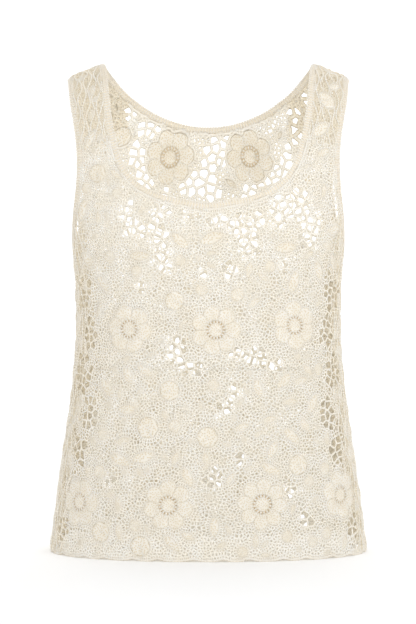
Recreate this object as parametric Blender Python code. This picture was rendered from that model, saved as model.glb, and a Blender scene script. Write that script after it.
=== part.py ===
"""A sleeveless crochet lace top in its worn form, with nobody in it.

Metres, +Z up, front towards -Y. The origin is midway between the shoulder seams, at the height
where the neck edge meets them. The front, the back and three narrow edge bands are separate
pieces, 0.3 mm apart at their seams. Each is a thin wall laid on one smooth surface.

A place on that surface is given as on the flat cloth: `across` from the centre line, and `down`
from the shoulder line, negative on the front and positive on the back.
"""
import math
import random
from collections import namedtuple

import bpy
import numpy as np
from mathutils.geometry import delaunay_2d_cdt

MM = 0.001

# Cloth and seams
CLOTH_THICKNESS = 2.0 * MM
BAND_THICKNESS = 2.6 * MM
SEAM_GAP = 0.3 * MM
NECK_BAND_WIDTH = 6.5 * MM
ARMHOLE_BAND_WIDTH = 5.5 * MM
HEM_DROP = 566.0 * MM
SCALLOP_DEPTH = 2.6 * MM
SCALLOP_WIDTH = 34.0 * MM

# Shoulders
NECK_POINT = 116.0 * MM
SHOULDER_FALL = 0.430
CENTRE_EASE = 50.0 * MM
SQUARENESS = 2.2

# The worn form: one row for each level, from the shoulder line to below the hem.
# slope is the share of the shoulder's fall that the level still has.
Section = namedtuple("Section", "drop half_width front_depth back_depth slope")
SECTIONS = (
    Section(0.000, 0.2000, 0.0000, 0.0000, 1.00),
    Section(0.006, 0.1995, 0.0280, 0.0280, 1.00),
    Section(0.020, 0.1985, 0.0520, 0.0520, 0.97),
    Section(0.042, 0.1950, 0.0700, 0.0710, 0.88),
    Section(0.072, 0.1880, 0.0830, 0.0850, 0.68),
    Section(0.105, 0.1785, 0.0945, 0.0935, 0.43),
    Section(0.142, 0.1698, 0.1040, 0.0975, 0.20),
    Section(0.180, 0.1637, 0.1110, 0.0970, 0.06),
    Section(0.220, 0.1562, 0.1145, 0.0940, 0.00),
    Section(0.265, 0.1525, 0.1145, 0.0895, 0.00),
    Section(0.311, 0.1522, 0.1110, 0.0860, 0.00),
    Section(0.357, 0.1549, 0.1090, 0.0850, 0.00),
    Section(0.415, 0.1620, 0.1110, 0.0890, 0.00),
    Section(0.470, 0.1697, 0.1160, 0.0970, 0.00),
    Section(0.520, 0.1766, 0.1210, 0.1050, 0.00),
    Section(0.568, 0.1823, 0.1255, 0.1120, 0.00),
    Section(0.610, 0.1870, 0.1290, 0.1170, 0.00),
)

# The neck edge seen from the front, from the centre line out to the shoulder
EdgePoint = namedtuple("EdgePoint", "x drop")
FRONT_NECK = (
    EdgePoint(0.0000, 0.1690), EdgePoint(0.0270, 0.1650), EdgePoint(0.0560, 0.1575),
    EdgePoint(0.0785, 0.1450), EdgePoint(0.0950, 0.1235), EdgePoint(0.1050, 0.0930),
    EdgePoint(0.1105, 0.0620), EdgePoint(0.1145, 0.0280),
)
BACK_NECK = (
    EdgePoint(0.1110, 0.0153), EdgePoint(0.0985, 0.0290), EdgePoint(0.0800, 0.0432),
    EdgePoint(0.0436, 0.0612), EdgePoint(0.0225, 0.0665), EdgePoint(0.0000, 0.0684),
)

# The armhole edge: how far it is cut in from the side line, by distance down from the shoulder
ArmholeCut = namedtuple("ArmholeCut", "down inset")
ARMHOLE = (
    ArmholeCut(0.000, 0.0408), ArmholeCut(0.018, 0.0435), ArmholeCut(0.038, 0.0507),
    ArmholeCut(0.074, 0.0618), ArmholeCut(0.113, 0.0679), ArmholeCut(0.147, 0.0672),
    ArmholeCut(0.185, 0.0608), ArmholeCut(0.220, 0.0485), ArmholeCut(0.246, 0.0330),
    ArmholeCut(0.260, 0.0180),
)
UNDERARM_DOWN = 0.2665

# Flowers of the lace, as seen from the front: centre, outer radius, petals, turn in degrees.
# Each stands out from the wall as a round ring with domed petals about it.
Flower = namedtuple("Flower", "x drop radius petals turn")
FRONT_FLOWERS = (
    Flower(-0.0885, 0.309, 0.027, 6, 10), Flower(0.0080, 0.310, 0.028, 7, 0),
    Flower(0.0963, 0.305, 0.027, 6, 25), Flower(-0.1450, 0.504, 0.027, 6, 0),
    Flower(-0.0448, 0.504, 0.028, 7, 12), Flower(0.0597, 0.503, 0.029, 8, 5),
    Flower(0.1486, 0.496, 0.027, 6, 15),
)
BACK_FLOWERS = (
    Flower(-0.0460, 0.104, 0.030, 7, 0), Flower(0.0500, 0.103, 0.029, 7, 14),
    Flower(0.0885, 0.309, 0.027, 6, 10), Flower(-0.0080, 0.310, 0.028, 7, 0),
    Flower(-0.0963, 0.305, 0.027, 6, 25), Flower(0.1450, 0.504, 0.027, 6, 0),
    Flower(0.0448, 0.504, 0.028, 7, 12), Flower(-0.0597, 0.503, 0.029, 8, 5),
    Flower(-0.1486, 0.496, 0.027, 6, 15),
)

# Open stretches of the lace, as seen from the front: where the gaps are wide enough to cut
Opening = namedtuple("Opening", "x drop half_width half_height")
FRONT_OPENINGS = (
    Opening(-0.090, 0.181, 0.0089, 0.0155), Opening(-0.078, 0.197, 0.0166, 0.0100),
    Opening(-0.052, 0.213, 0.0122, 0.0166), Opening(-0.054, 0.180, 0.0133, 0.0078),
    Opening(-0.020, 0.179, 0.0122, 0.0089), Opening(0.010, 0.188, 0.0100, 0.0067),
    Opening(-0.051, 0.238, 0.0089, 0.0100), Opening(0.033, 0.196, 0.0133, 0.0133),
    Opening(0.046, 0.217, 0.0133, 0.0144), Opening(0.057, 0.189, 0.0067, 0.0122),
    Opening(0.026, 0.245, 0.0100, 0.0100), Opening(0.077, 0.181, 0.0089, 0.0200),
    Opening(0.099, 0.171, 0.0155, 0.0189), Opening(0.113, 0.200, 0.0122, 0.0189),
    Opening(-0.075, 0.262, 0.0067, 0.0089), Opening(-0.004, 0.245, 0.0067, 0.0067),
    Opening(0.084, 0.241, 0.0044, 0.0089), Opening(-0.035, 0.332, 0.0111, 0.0177),
    Opening(-0.020, 0.351, 0.0111, 0.0089), Opening(0.031, 0.337, 0.0100, 0.0067),
    Opening(0.054, 0.340, 0.0155, 0.0100), Opening(0.074, 0.350, 0.0078, 0.0067),
    Opening(0.029, 0.380, 0.0078, 0.0078), Opening(0.021, 0.396, 0.0111, 0.0100),
    Opening(0.007, 0.474, 0.0111, 0.0122), Opening(0.092, 0.489, 0.0122, 0.0067),
    Opening(0.108, 0.521, 0.0078, 0.0067), Opening(-0.111, 0.480, 0.0078, 0.0067),
    Opening(0.033, 0.453, 0.0078, 0.0055),
)
FRONT_SIDE_OPENINGS = (
    Opening(0.1400, 0.268, 0.008, 0.020), Opening(0.1330, 0.312, 0.008, 0.020),
    Opening(0.1400, 0.358, 0.009, 0.022), Opening(0.1340, 0.404, 0.008, 0.020),
    Opening(0.1450, 0.446, 0.008, 0.018), Opening(0.1640, 0.534, 0.007, 0.015),
)
BACK_OPENINGS = (
    Opening(-0.093, 0.053, 0.0120, 0.0120), Opening(-0.074, 0.072, 0.0156, 0.0096),
    Opening(-0.086, 0.098, 0.0120, 0.0168), Opening(-0.078, 0.128, 0.0132, 0.0120),
    Opening(-0.039, 0.072, 0.0132, 0.0072), Opening(0.010, 0.084, 0.0132, 0.0132),
    Opening(0.008, 0.107, 0.0156, 0.0132), Opening(-0.010, 0.125, 0.0156, 0.0096),
    Opening(-0.024, 0.139, 0.0156, 0.0132), Opening(0.004, 0.141, 0.0144, 0.0144),
    Opening(0.101, 0.053, 0.0096, 0.0168), Opening(0.104, 0.076, 0.0096, 0.0120),
    Opening(0.097, 0.099, 0.0096, 0.0120), Opening(0.089, 0.119, 0.0108, 0.0108),
    Opening(0.068, 0.128, 0.0132, 0.0120), Opening(0.053, 0.140, 0.0096, 0.0084),
    Opening(0.114, 0.035, 0.0072, 0.0084), Opening(0.042, 0.151, 0.0096, 0.0072),
    Opening(-0.051, 0.146, 0.0096, 0.0072),
)

# Openings of the front that show daylight have one behind them in the back, a little larger
SIGHT_SHARE = 1.084
SIGHT_DROP = 0.290
SIGHT_TOP = 0.170
SIGHT_MARGIN = 1.25

FLOWERS = {"front": FRONT_FLOWERS, "back": BACK_FLOWERS}
OPENINGS = {"front": (FRONT_OPENINGS, FRONT_SIDE_OPENINGS), "back": (BACK_OPENINGS, ())}
RING_RADIUS = 10.0 * MM
RING_HEIGHT = 1.5 * MM
PETAL_HEIGHT = 1.3 * MM
PETAL_CREST = 0.70
NOTCH_REACH = 0.86

# Net between the motifs
NET_SEED = 11
NET_SPACING = {"front": 7.4 * MM, "back": 8.8 * MM}
NET_BAR = 2.2 * MM
MOTIF_MARGIN = 4.2 * MM
SMALLEST_GAP = 4.2 * MM
SHORTEST_SIDE = 1.6 * MM
EDGE_MARGIN = 2.4 * MM
GAPS_PER_PANEL = {"front": 160, "back": 140}

LACE_COLOUR = (0.86, 0.80, 0.69, 1.0)
BAND_COLOUR = (0.83, 0.77, 0.65, 1.0)

ROW_STEP = 2.0 * MM
ROW_POINTS = 120
BAND_STATION = 9.0 * MM
SEAM_STATION = 16.0 * MM
WALL_POINT_SPACING = 21.0 * MM
WALL_POINT_MARGIN = 5.0 * MM
SCATTER_TRIES = 60
SCALLOP_STEPS = 5
SCALLOP_SHARES = (1.0, 1.25, 0.85, 1.1, 0.8, 1.2, 0.9)
NECK_INWARD = -1
ARMHOLE_INWARD = 1


def smooth_values(knots, values, at, first_slope=None):
    """Read a smooth curve through `values` at the places `at`."""
    slopes = np.gradient(values, knots)
    if first_slope is not None:
        slopes[0] = first_slope
    piece = np.clip(np.searchsorted(knots, at, side="right") - 1, 0, len(knots) - 2)
    span = knots[piece + 1] - knots[piece]
    s = (at - knots[piece]) / span
    start = (2 * s**3 - 3 * s**2 + 1) * values[piece] + (s**3 - 2 * s**2 + s) * span * slopes[piece]
    end = (3 * s**2 - 2 * s**3) * values[piece + 1] + (s**3 - s**2) * span * slopes[piece + 1]
    return start + end


class WornSurface:
    """The surface that the cloth lies on, as grids of points and normals for front and back."""

    def __init__(self):
        table = np.array(SECTIONS)
        mean_depth = (table[:, 2] + table[:, 3]) / 2
        steps = np.hypot(np.diff(table[:, 0]), np.diff(mean_depth))
        knots = np.concatenate(([0.0], np.cumsum(steps)))
        self.down = np.arange(0.0, knots[-1], ROW_STEP)
        drop = smooth_values(knots, table[:, 0], self.down, first_slope=0.0)
        half_width = smooth_values(knots, table[:, 1], self.down, first_slope=0.0)
        slope = smooth_values(knots, table[:, 4], self.down, first_slope=0.0)
        turn = np.linspace(0.0, math.pi / 2, ROW_POINTS + 1)
        reach = np.sin(turn) ** (2 / SQUARENESS)
        depth_share = np.abs(np.cos(turn)) ** (2 / SQUARENESS)
        self.row_x = half_width[:, None] * reach
        fall = SHOULDER_FALL * (np.hypot(self.row_x, CENTRE_EASE) - math.hypot(NECK_POINT, CENTRE_EASE))
        self.row_z = -drop[:, None] - slope[:, None] * fall
        self.girth = {}
        self.arc = {}
        self.points = {}
        self.normals = {}
        for side, column, sign in (("front", 2, -1.0), ("back", 3, 1.0)):
            depth = smooth_values(knots, table[:, column], self.down, first_slope=1.0)
            row_y = sign * depth[:, None] * depth_share
            self._measure(side, np.stack([self.row_x, row_y, self.row_z], axis=-1), sign)

    def _measure(self, side, rows, sign):
        """Space the points of each row evenly along the cloth, and work out the normals."""
        steps = np.linalg.norm(np.diff(rows, axis=1), axis=-1)
        arc = np.concatenate((np.zeros((len(rows), 1)), np.cumsum(steps, axis=1)), axis=1)
        even = np.linspace(0.0, 1.0, ROW_POINTS + 1)
        points = np.empty_like(rows)
        for row in range(len(rows)):
            for axis in range(3):
                points[row, :, axis] = np.interp(even * arc[row, -1], arc[row], rows[row, :, axis])
        along_row = np.gradient(points, axis=1)
        along_row[:, 0, 1:] = 0.0
        along_row[:, -1] = (0.0, -sign, 0.0)
        along_column = np.gradient(points, axis=0)
        normals = np.cross(along_row, along_column) * sign
        normals[0] = normals[1]
        normals /= np.linalg.norm(normals, axis=-1, keepdims=True)
        self.arc[side] = arc
        self.girth[side] = arc[:, -1]
        self.points[side] = points
        self.normals[side] = normals

    def reach_at(self, side, down):
        """Distance along the cloth from the centre line to the side line, at a level."""
        return np.interp(down, self.down, self.girth[side])

    def side_line(self, down):
        """How far across the side line is, for downs that are negative on the front."""
        return np.where(down < 0.0, self.reach_at("front", -down), self.reach_at("back", down))

    def place(self, across, down, lift=0.0):
        """Points on the cloth, `lift` outside the surface. Arrays in, an array of points out."""
        across, down = np.broadcast_arrays(np.asarray(across, float), np.asarray(down, float))
        result = np.empty(across.shape + (3,))
        lift = np.broadcast_to(lift, across.shape)[..., None]
        for side, mask in (("front", down < 0.0), ("back", down >= 0.0)):
            if mask.any():
                result[mask] = self._read(side, np.abs(across[mask]), np.abs(down[mask]), lift[mask])
        result[..., 0] *= np.where(across < 0.0, -1.0, 1.0)
        return result

    def _read(self, side, across, down, lift):
        row = np.clip(down / ROW_STEP, 0.0, len(self.down) - 1.001)
        column = np.clip(across / self.reach_at(side, down), 0.0, 1.0) * ROW_POINTS
        column = np.minimum(column, ROW_POINTS - 0.001)
        top = row.astype(int)
        left = column.astype(int)
        v = (row - top)[:, None]
        u = (column - left)[:, None]

        def blend(grid):
            upper = grid[top, left] * (1 - u) + grid[top, left + 1] * u
            lower = grid[top + 1, left] * (1 - u) + grid[top + 1, left + 1] * u
            return upper * (1 - v) + lower * v

        normal = blend(self.normals[side])
        normal /= np.linalg.norm(normal, axis=-1, keepdims=True)
        return blend(self.points[side]) + normal * lift

    def cloth_place(self, side, x, drop):
        """Where a point seen from the front at x and drop lies on the cloth, as (across, down)."""
        width = abs(x)
        levels = np.array([np.interp(width, self.row_x[i], self.row_z[i]) for i in range(len(self.down))])
        down = np.interp(drop, -levels, self.down)
        arcs = np.array([np.interp(width, self.row_x[i], self.arc[side][i]) for i in range(len(self.down))])
        return math.copysign(np.interp(down, self.down, arcs), x), down


def curve_through(points, spacing):
    """A smooth open curve through the points, resampled at about `spacing`, and its length."""
    points = np.asarray(points, float)
    knots = np.concatenate(([0.0], np.cumsum(np.linalg.norm(np.diff(points, axis=0), axis=1))))
    count = max(2, int(round(knots[-1] / spacing)))
    at = np.linspace(0.0, knots[-1], count + 1)
    return np.stack([smooth_values(knots, points[:, axis], at) for axis in range(2)], axis=1)


def neck_route(surface):
    """The neck edge as a closed loop of (across, down), from the front centre round."""
    half = []
    for point in FRONT_NECK:
        across, down = surface.cloth_place("front", point.x, point.drop)
        half.append((across, -down))
    for point in BACK_NECK:
        half.append(surface.cloth_place("back", point.x, point.drop))
    mirrored = [(-across, down) for across, down in half]
    lead_in = mirrored[2:0:-1]
    lead_out = mirrored[-2:-4:-1]
    full = curve_through(lead_in + half + lead_out, BAND_STATION / 4)
    start = int(np.argmin(np.hypot(full[:, 0] - half[0][0], full[:, 1] - half[0][1])))
    end = int(np.argmin(np.hypot(full[:, 0] - half[-1][0], full[:, 1] - half[-1][1])))
    right = full[start:end + 1]
    right[0, 0] = 0.0
    right[-1, 0] = 0.0
    left = right[-2:0:-1] * np.array([-1.0, 1.0])
    return np.concatenate([right, left])[::4]


def armhole_route(surface):
    """The armhole edge of the +X side, from the underarm up the front, over and down the back."""
    half = [(0.0, UNDERARM_DOWN)] + [(cut.inset, cut.down) for cut in reversed(ARMHOLE)]
    front = [(inset, -down) for inset, down in half]
    back = [(inset, down) for inset, down in reversed(half[:-1])]
    lead_in = [(-front[2][0], front[2][1]), (-front[1][0], front[1][1])]
    lead_out = [(-back[-2][0], back[-2][1]), (-back[-3][0], back[-3][1])]
    full = curve_through(lead_in + front + back + lead_out, BAND_STATION / 4)
    start = int(np.argmin(np.hypot(full[:, 0], full[:, 1] + UNDERARM_DOWN)))
    end = int(np.argmin(np.hypot(full[:, 0], full[:, 1] - UNDERARM_DOWN)))
    route = full[start:end:4]
    route[0, 0] = 0.0
    return np.stack([surface.side_line(route[:, 1]) - route[:, 0], route[:, 1]], axis=1)


def inset_route(surface, route, distance, towards):
    """Move a closed route sideways on the surface, to the side where `towards` is +1 or -1."""
    reach = 0.5 * MM
    moved = route.copy()
    steps = 3
    for _ in range(steps):
        across, down = moved[:, 0], moved[:, 1]
        here = surface.place(across, down)
        tangent = np.roll(here, -1, axis=0) - np.roll(here, 1, axis=0)
        tangent /= np.linalg.norm(tangent, axis=1, keepdims=True)
        sideways = np.cross(surface.place(across, down, 1.0) - here, tangent) * towards
        inwards = across - np.copysign(reach, across)
        by_across = (here - surface.place(inwards, down)) / np.copysign(reach, across)[:, None]
        by_down = (surface.place(across, down + reach) - surface.place(across, down - reach)) / (2 * reach)
        aa, ad, dd = (np.sum(u * v, axis=1) for u, v in
                      ((by_across, by_across), (by_across, by_down), (by_down, by_down)))
        sa, sd = (np.sum(sideways * u, axis=1) for u in (by_across, by_down))
        share = distance / steps / (aa * dd - ad * ad)
        moved[:, 0] += share * (sa * dd - sd * ad)
        moved[:, 1] += share * (sd * aa - sa * ad)
        moved[:, 0] = np.minimum(moved[:, 0], surface.side_line(moved[:, 1]))
    return moved


def hem_line(surface, side, level):
    """The scalloped hem from the +X side line to the other, as (across, down)."""
    reach = float(surface.reach_at(side, level)) - SEAM_GAP / 2
    lobes = int(round(2 * reach / SCALLOP_WIDTH))
    widths = np.array([SCALLOP_SHARES[i % len(SCALLOP_SHARES)] for i in range(lobes)])
    edges = reach - np.concatenate(([0.0], np.cumsum(widths))) / widths.sum() * 2 * reach
    line = []
    for lobe in range(lobes):
        for step in range(SCALLOP_STEPS):
            share = step / SCALLOP_STEPS
            across = edges[lobe] + share * (edges[lobe + 1] - edges[lobe])
            line.append((across, level + SCALLOP_DEPTH * math.sin(math.pi * share) ** 0.7))
    line.append((edges[-1], level))
    return np.array(line)


def from_shoulder(route, sign):
    """One panel's share of an edge that runs front to back, from the shoulder seam outwards."""
    start = (np.interp(sign * SEAM_GAP / 2, route[:, 1], route[:, 0]), SEAM_GAP / 2)
    part = route[route[:, 1] * sign > 1.0 * MM] * np.array([1.0, sign])
    return np.concatenate([[start], part[::-1] if sign < 0 else part])


def panel_outline(surface, side, neck, armhole):
    """The edge of one panel as a closed loop of (across, down), with every down positive."""
    sign = -1.0 if side == "front" else 1.0
    level = float(np.interp(HEM_DROP, -surface.row_z[:, 0], surface.down))
    neck_part = from_shoulder(neck[: len(neck) // 2 + 1], sign)[::-1]
    armhole_part = from_shoulder(armhole, sign)
    side_line = surface.reach_at(side, armhole_part[:, 1]) - SEAM_GAP / 2
    armhole_part = armhole_part[armhole_part[:, 0] < side_line - 1.0 * MM]
    seam_top = float(-armhole[0, 1])
    seam = np.linspace(seam_top, level, int((level - seam_top) / SEAM_STATION))[:-1]
    seam_part = np.stack([surface.reach_at(side, seam) - SEAM_GAP / 2, seam], axis=1)
    right = np.concatenate([neck_part, armhole_part, seam_part])
    left = right[:0:-1] * np.array([-1.0, 1.0])
    return np.concatenate([right, hem_line(surface, side, level), left])


def distance_to_loop(points, loop):
    """Distance from each point to a closed polygon's edge."""
    start = loop[None, :, :]
    run = np.roll(loop, -1, axis=0)[None, :, :] - start
    offset = points[:, None, :] - start
    share = np.clip(np.sum(offset * run, axis=2) / np.sum(run * run, axis=2), 0.0, 1.0)
    return np.linalg.norm(offset - share[:, :, None] * run, axis=2).min(axis=1)


def inside_loop(points, loop):
    """Which points lie inside a closed polygon."""
    x, y = points[:, 0, None], points[:, 1, None]
    x0, y0 = loop[None, :, 0], loop[None, :, 1]
    x1, y1 = np.roll(x0, -1, axis=1), np.roll(y0, -1, axis=1)
    rises = (y0 > y) != (y1 > y)
    meets = x < (x1 - x0) * (y - y0) / np.where(y1 == y0, 1.0, y1 - y0) + x0
    return (rises & meets).sum(axis=1) % 2 == 1


def scatter(low, high, spacing, keep_out, seed):
    """Scattered places in a rectangle, none nearer than `spacing`, and none in a keep-out disc."""
    draw = random.Random(seed)
    cell = spacing / math.sqrt(2)
    taken = {}
    places = []
    tries = int(SCATTER_TRIES * (high[0] - low[0]) * (high[1] - low[1]) / spacing**2)
    for _ in range(tries):
        x = draw.uniform(low[0], high[0])
        y = draw.uniform(low[1], high[1])
        if any(math.hypot(x - cx, y - cy) < radius for cx, cy, radius in keep_out):
            continue
        column, row = int(x // cell), int(y // cell)
        near = (taken.get((column + i, row + j)) for i in range(-2, 3) for j in range(-2, 3))
        if any(other and math.hypot(x - other[0], y - other[1]) < spacing for other in near):
            continue
        taken[(column, row)] = (x, y)
        places.append((x, y))
    return places


def ring(centre, radius, spacing, turn=0.0):
    """Evenly spaced places on a circle."""
    count = max(6, int(round(2 * math.pi * radius / spacing)))
    angles = (turn + 2 * math.pi * i / count for i in range(count))
    return [(centre[0] + radius * math.cos(a), centre[1] + radius * math.sin(a)) for a in angles]


def cells_around(sites):
    """The cell of places nearer to each site than to any other, as convex polygons."""
    verts, _, faces, origins, _, _ = delaunay_2d_cdt([tuple(site) for site in sites], [], [], 0, 1e-7)
    verts = np.array([(v.x, v.y) for v in verts])
    faces = np.array(faces)
    a, b, c = verts[faces[:, 0]], verts[faces[:, 1]], verts[faces[:, 2]]
    ab, ac = b - a, c - a
    twice = 2 * (ab[:, 0] * ac[:, 1] - ab[:, 1] * ac[:, 0])
    ab2, ac2 = np.sum(ab * ab, axis=1), np.sum(ac * ac, axis=1)
    centres = a + np.stack([ac[:, 1] * ab2 - ab[:, 1] * ac2, ab[:, 0] * ac2 - ac[:, 0] * ab2],
                           axis=1) / twice[:, None]
    touching = [[] for _ in verts]
    for index, face in enumerate(faces):
        for corner in face:
            touching[corner].append(index)
    cells = {}
    for vertex, near in enumerate(touching):
        offsets = centres[near] - verts[vertex]
        order = np.argsort(np.arctan2(offsets[:, 1], offsets[:, 0]))
        for origin in origins[vertex]:
            cells[origin] = centres[near][order]
    return cells


def clip(polygon, point, inward):
    """The part of a convex polygon on the inner side of a line."""
    depth = (polygon - point) @ inward
    kept = []
    for i in range(len(polygon)):
        j = (i + 1) % len(polygon)
        if depth[i] >= 0.0:
            kept.append(polygon[i])
        if depth[i] * depth[j] < 0.0:
            kept.append(polygon[i] + (polygon[j] - polygon[i]) * depth[i] / (depth[i] - depth[j]))
    return np.array(kept)


def shrink(polygon, margin):
    """A convex polygon moved in by `margin` on every side, anticlockwise."""
    shrunk = polygon
    for i in range(len(polygon)):
        run = polygon[(i + 1) % len(polygon)] - polygon[i]
        length = np.linalg.norm(run)
        if length < 0.01 * MM:
            continue
        inward = np.array([-run[1], run[0]]) / length
        shrunk = clip(shrunk, polygon[i] + inward * margin, inward)
        if len(shrunk) < 3:
            return None
    return shrunk


def drop_short_sides(polygon):
    """Merge corners that are closer than the shortest side worth cutting."""
    corners = [polygon[0]]
    for corner in polygon[1:]:
        if np.linalg.norm(corner - corners[-1]) >= SHORTEST_SIDE:
            corners.append(corner)
    while len(corners) > 3 and np.linalg.norm(corners[0] - corners[-1]) < SHORTEST_SIDE:
        corners.pop()
    return np.array(corners)


def area_and_width(polygon):
    """Area of a convex polygon, and the narrowest way across it."""
    following = np.roll(polygon, -1, axis=0)
    area = 0.5 * abs(np.sum(polygon[:, 0] * following[:, 1] - polygon[:, 1] * following[:, 0]))
    run = following - polygon
    across = np.stack([-run[:, 1], run[:, 0]], axis=1) / np.linalg.norm(run, axis=1, keepdims=True)
    spans = (polygon @ across.T)
    return area, float((spans.max(axis=0) - spans.min(axis=0)).min())


def seen_through():
    """The front's openings as they fall on the back, where daylight shows through both."""
    return tuple(
        Opening(opening.x * SIGHT_SHARE, SIGHT_DROP + (opening.drop - SIGHT_DROP) * SIGHT_SHARE,
                opening.half_width * SIGHT_MARGIN, opening.half_height * SIGHT_MARGIN)
        for opening in FRONT_OPENINGS if opening.drop > SIGHT_TOP
    )


def laid_openings(surface, side):
    """The open stretches of one panel as ellipses on the cloth: centre and half sizes."""
    table, both_sides = OPENINGS[side]
    table += both_sides + tuple(opening._replace(x=-opening.x) for opening in both_sides)
    if side == "back":
        table += seen_through()
    laid = []
    for opening in table:
        low, _ = surface.cloth_place(side, opening.x - opening.half_width, opening.drop)
        high, _ = surface.cloth_place(side, opening.x + opening.half_width, opening.drop)
        _, down = surface.cloth_place(side, opening.x, opening.drop)
        laid.append(((low + high) / 2, down, abs(high - low) / 2, opening.half_height))
    return laid


def lace_gaps(surface, side, outline):
    """The widest gaps of one panel's lace, as convex polygons on the cloth."""
    flowers = FLOWERS[side]
    spacing = NET_SPACING[side]
    centres = [surface.cloth_place(side, flower.x, flower.drop) for flower in flowers]
    sites = []
    keep_out = []
    for flower, centre in zip(flowers, centres):
        sites += ring(centre, flower.radius - MOTIF_MARGIN, spacing * 0.9)
        keep_out.append((*centre, flower.radius + MOTIF_MARGIN * 1.9))
    blocked = len(sites)
    for flower, centre in zip(flowers, centres):
        sites += ring(centre, flower.radius + MOTIF_MARGIN, spacing * 1.1)
    low = outline.min(axis=0) - 2 * spacing
    high = outline.max(axis=0) + 2 * spacing
    sites += scatter(low, high, spacing, keep_out, NET_SEED)
    cells = cells_around(sites)
    openings = laid_openings(surface, side)
    open_sites = []
    for index in range(blocked, len(sites)):
        x, y = sites[index]
        if any(((x - cx) / rx) ** 2 + ((y - cy) / ry) ** 2 < 1.0 for cx, cy, rx, ry in openings):
            open_sites.append(index)
    gaps = []
    for index in open_sites:
        gap = shrink(cells[index], NET_BAR / 2)
        if gap is not None:
            gap = clip_to_panel(gap, outline, spacing)
        if gap is None or len(gap) < 3:
            continue
        gap = drop_short_sides(gap)
        area, width = area_and_width(gap)
        if len(gap) >= 4 and width >= SMALLEST_GAP:
            gaps.append((area, gap))
    gaps.sort(key=lambda pair: -pair[0])
    return [gap for _, gap in gaps[: GAPS_PER_PANEL[side]]]


def clip_to_panel(gap, outline, spacing):
    """Keep a gap clear of the panel's edge, or give None where it lies across it."""
    centre = gap.mean(axis=0)[None, :]
    if not inside_loop(centre, outline)[0] or distance_to_loop(centre, outline)[0] < EDGE_MARGIN:
        return None
    following = np.roll(outline, -1, axis=0)
    for start, end in zip(outline, following):
        middle = (start + end) / 2
        if np.linalg.norm(middle - centre[0]) > 2 * spacing:
            continue
        run = end - start
        inward = np.array([-run[1], run[0]]) / np.linalg.norm(run)
        if (centre[0] - middle) @ inward < 0.0:
            inward = -inward
        gap = clip(gap, start + inward * EDGE_MARGIN, inward)
        if len(gap) < 3:
            return None
    return gap


def flower_points(centre, flower):
    """Points of one flower's low relief, as rows of (across, down, height)."""
    points = [(*centre, 0.0)]
    step = 2 * math.pi / flower.petals
    start = math.radians(flower.turn)
    rows = (
        (RING_RADIUS * 0.72, 0.0, 0.0), (RING_RADIUS, 0.5, RING_HEIGHT), (RING_RADIUS * 1.28, 0.0, 0.0),
        (flower.radius * PETAL_CREST, 0.0, PETAL_HEIGHT), (flower.radius * PETAL_CREST, 0.5, 0.0),
        (flower.radius, 0.0, 0.0), (flower.radius * NOTCH_REACH, 0.5, 0.0),
    )
    for radius, shift, height in rows:
        for petal in range(flower.petals):
            angle = start + (petal + shift) * step
            points.append((centre[0] + radius * math.cos(angle), centre[1] + radius * math.sin(angle), height))
    return points


def wall_points(outline, gaps, keep_out):
    """Places between the gaps where the wall needs a point to follow the curved form."""
    low, high = outline.min(axis=0), outline.max(axis=0)
    rows = np.arange(low[1], high[1], WALL_POINT_SPACING * 0.87)
    places = []
    for index, y in enumerate(rows):
        shift = WALL_POINT_SPACING / 2 * (index % 2)
        places += [(x + shift, y) for x in np.arange(low[0], high[0], WALL_POINT_SPACING)]
    places = np.array(places)
    places = places[inside_loop(places, outline)]
    places = places[distance_to_loop(places, outline) > WALL_POINT_MARGIN]
    for gap in gaps:
        clear = distance_to_loop(places, gap) > WALL_POINT_MARGIN
        places = places[clear & ~inside_loop(places, gap)]
    for x, y, radius in keep_out:
        places = places[np.hypot(places[:, 0] - x, places[:, 1] - y) > radius + WALL_POINT_MARGIN]
    return places


def panel_mesh(surface, side, outline, gaps):
    """One panel's wall: two skins on the worn surface and a rim round its edge and each gap."""
    loops = [outline] + gaps
    relief = []
    keep_out = []
    for flower in FLOWERS[side]:
        centre = surface.cloth_place(side, flower.x, flower.drop)
        relief += flower_points(centre, flower)
        keep_out.append((*centre, flower.radius))
    relief = np.array(relief)
    relief = relief[inside_loop(relief[:, :2], outline)]
    relief = relief[distance_to_loop(relief[:, :2], outline) > SHORTEST_SIDE]
    points = np.concatenate(loops + [relief[:, :2], wall_points(outline, gaps, keep_out)])
    edges = []
    start = 0
    for loop in loops:
        count = len(loop)
        edges += [(start + i, start + (i + 1) % count) for i in range(count)]
        start += count
    verts, _, faces, _, _, _ = delaunay_2d_cdt([tuple(p) for p in points], edges, [], 1, 1e-7)
    flat = np.array([(v.x, v.y) for v in verts])
    faces = np.array(faces)
    middles = flat[faces].mean(axis=1)
    cut = ~inside_loop(middles, outline)
    for gap in gaps:
        cut |= inside_loop(middles, gap)
    faces = faces[~cut].tolist()
    heights = np.zeros(len(flat))
    for x, y, height in relief:
        heights[np.argmin(np.hypot(flat[:, 0] - x, flat[:, 1] - y))] = height
    sign = -1.0 if side == "front" else 1.0
    outer = surface.place(flat[:, 0], flat[:, 1] * sign, CLOTH_THICKNESS / 2 + heights)
    inner = surface.place(flat[:, 0], flat[:, 1] * sign, -CLOTH_THICKNESS / 2)
    count = len(flat)
    triangles = []
    for a, b, c in faces:
        ab, ac = flat[b] - flat[a], flat[c] - flat[a]
        if (ab[0] * ac[1] - ab[1] * ac[0]) * sign < 0.0:
            b, c = c, b
        triangles.append((a, b, c))
    directed = {(t[i], t[(i + 1) % 3]) for t in triangles for i in range(3)}
    rims = [(b, a, a + count, b + count) for a, b in sorted(directed) if (b, a) not in directed]
    inside = [(a + count, c + count, b + count) for a, b, c in triangles]
    return np.concatenate([outer, inner]), triangles + inside + rims


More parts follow.
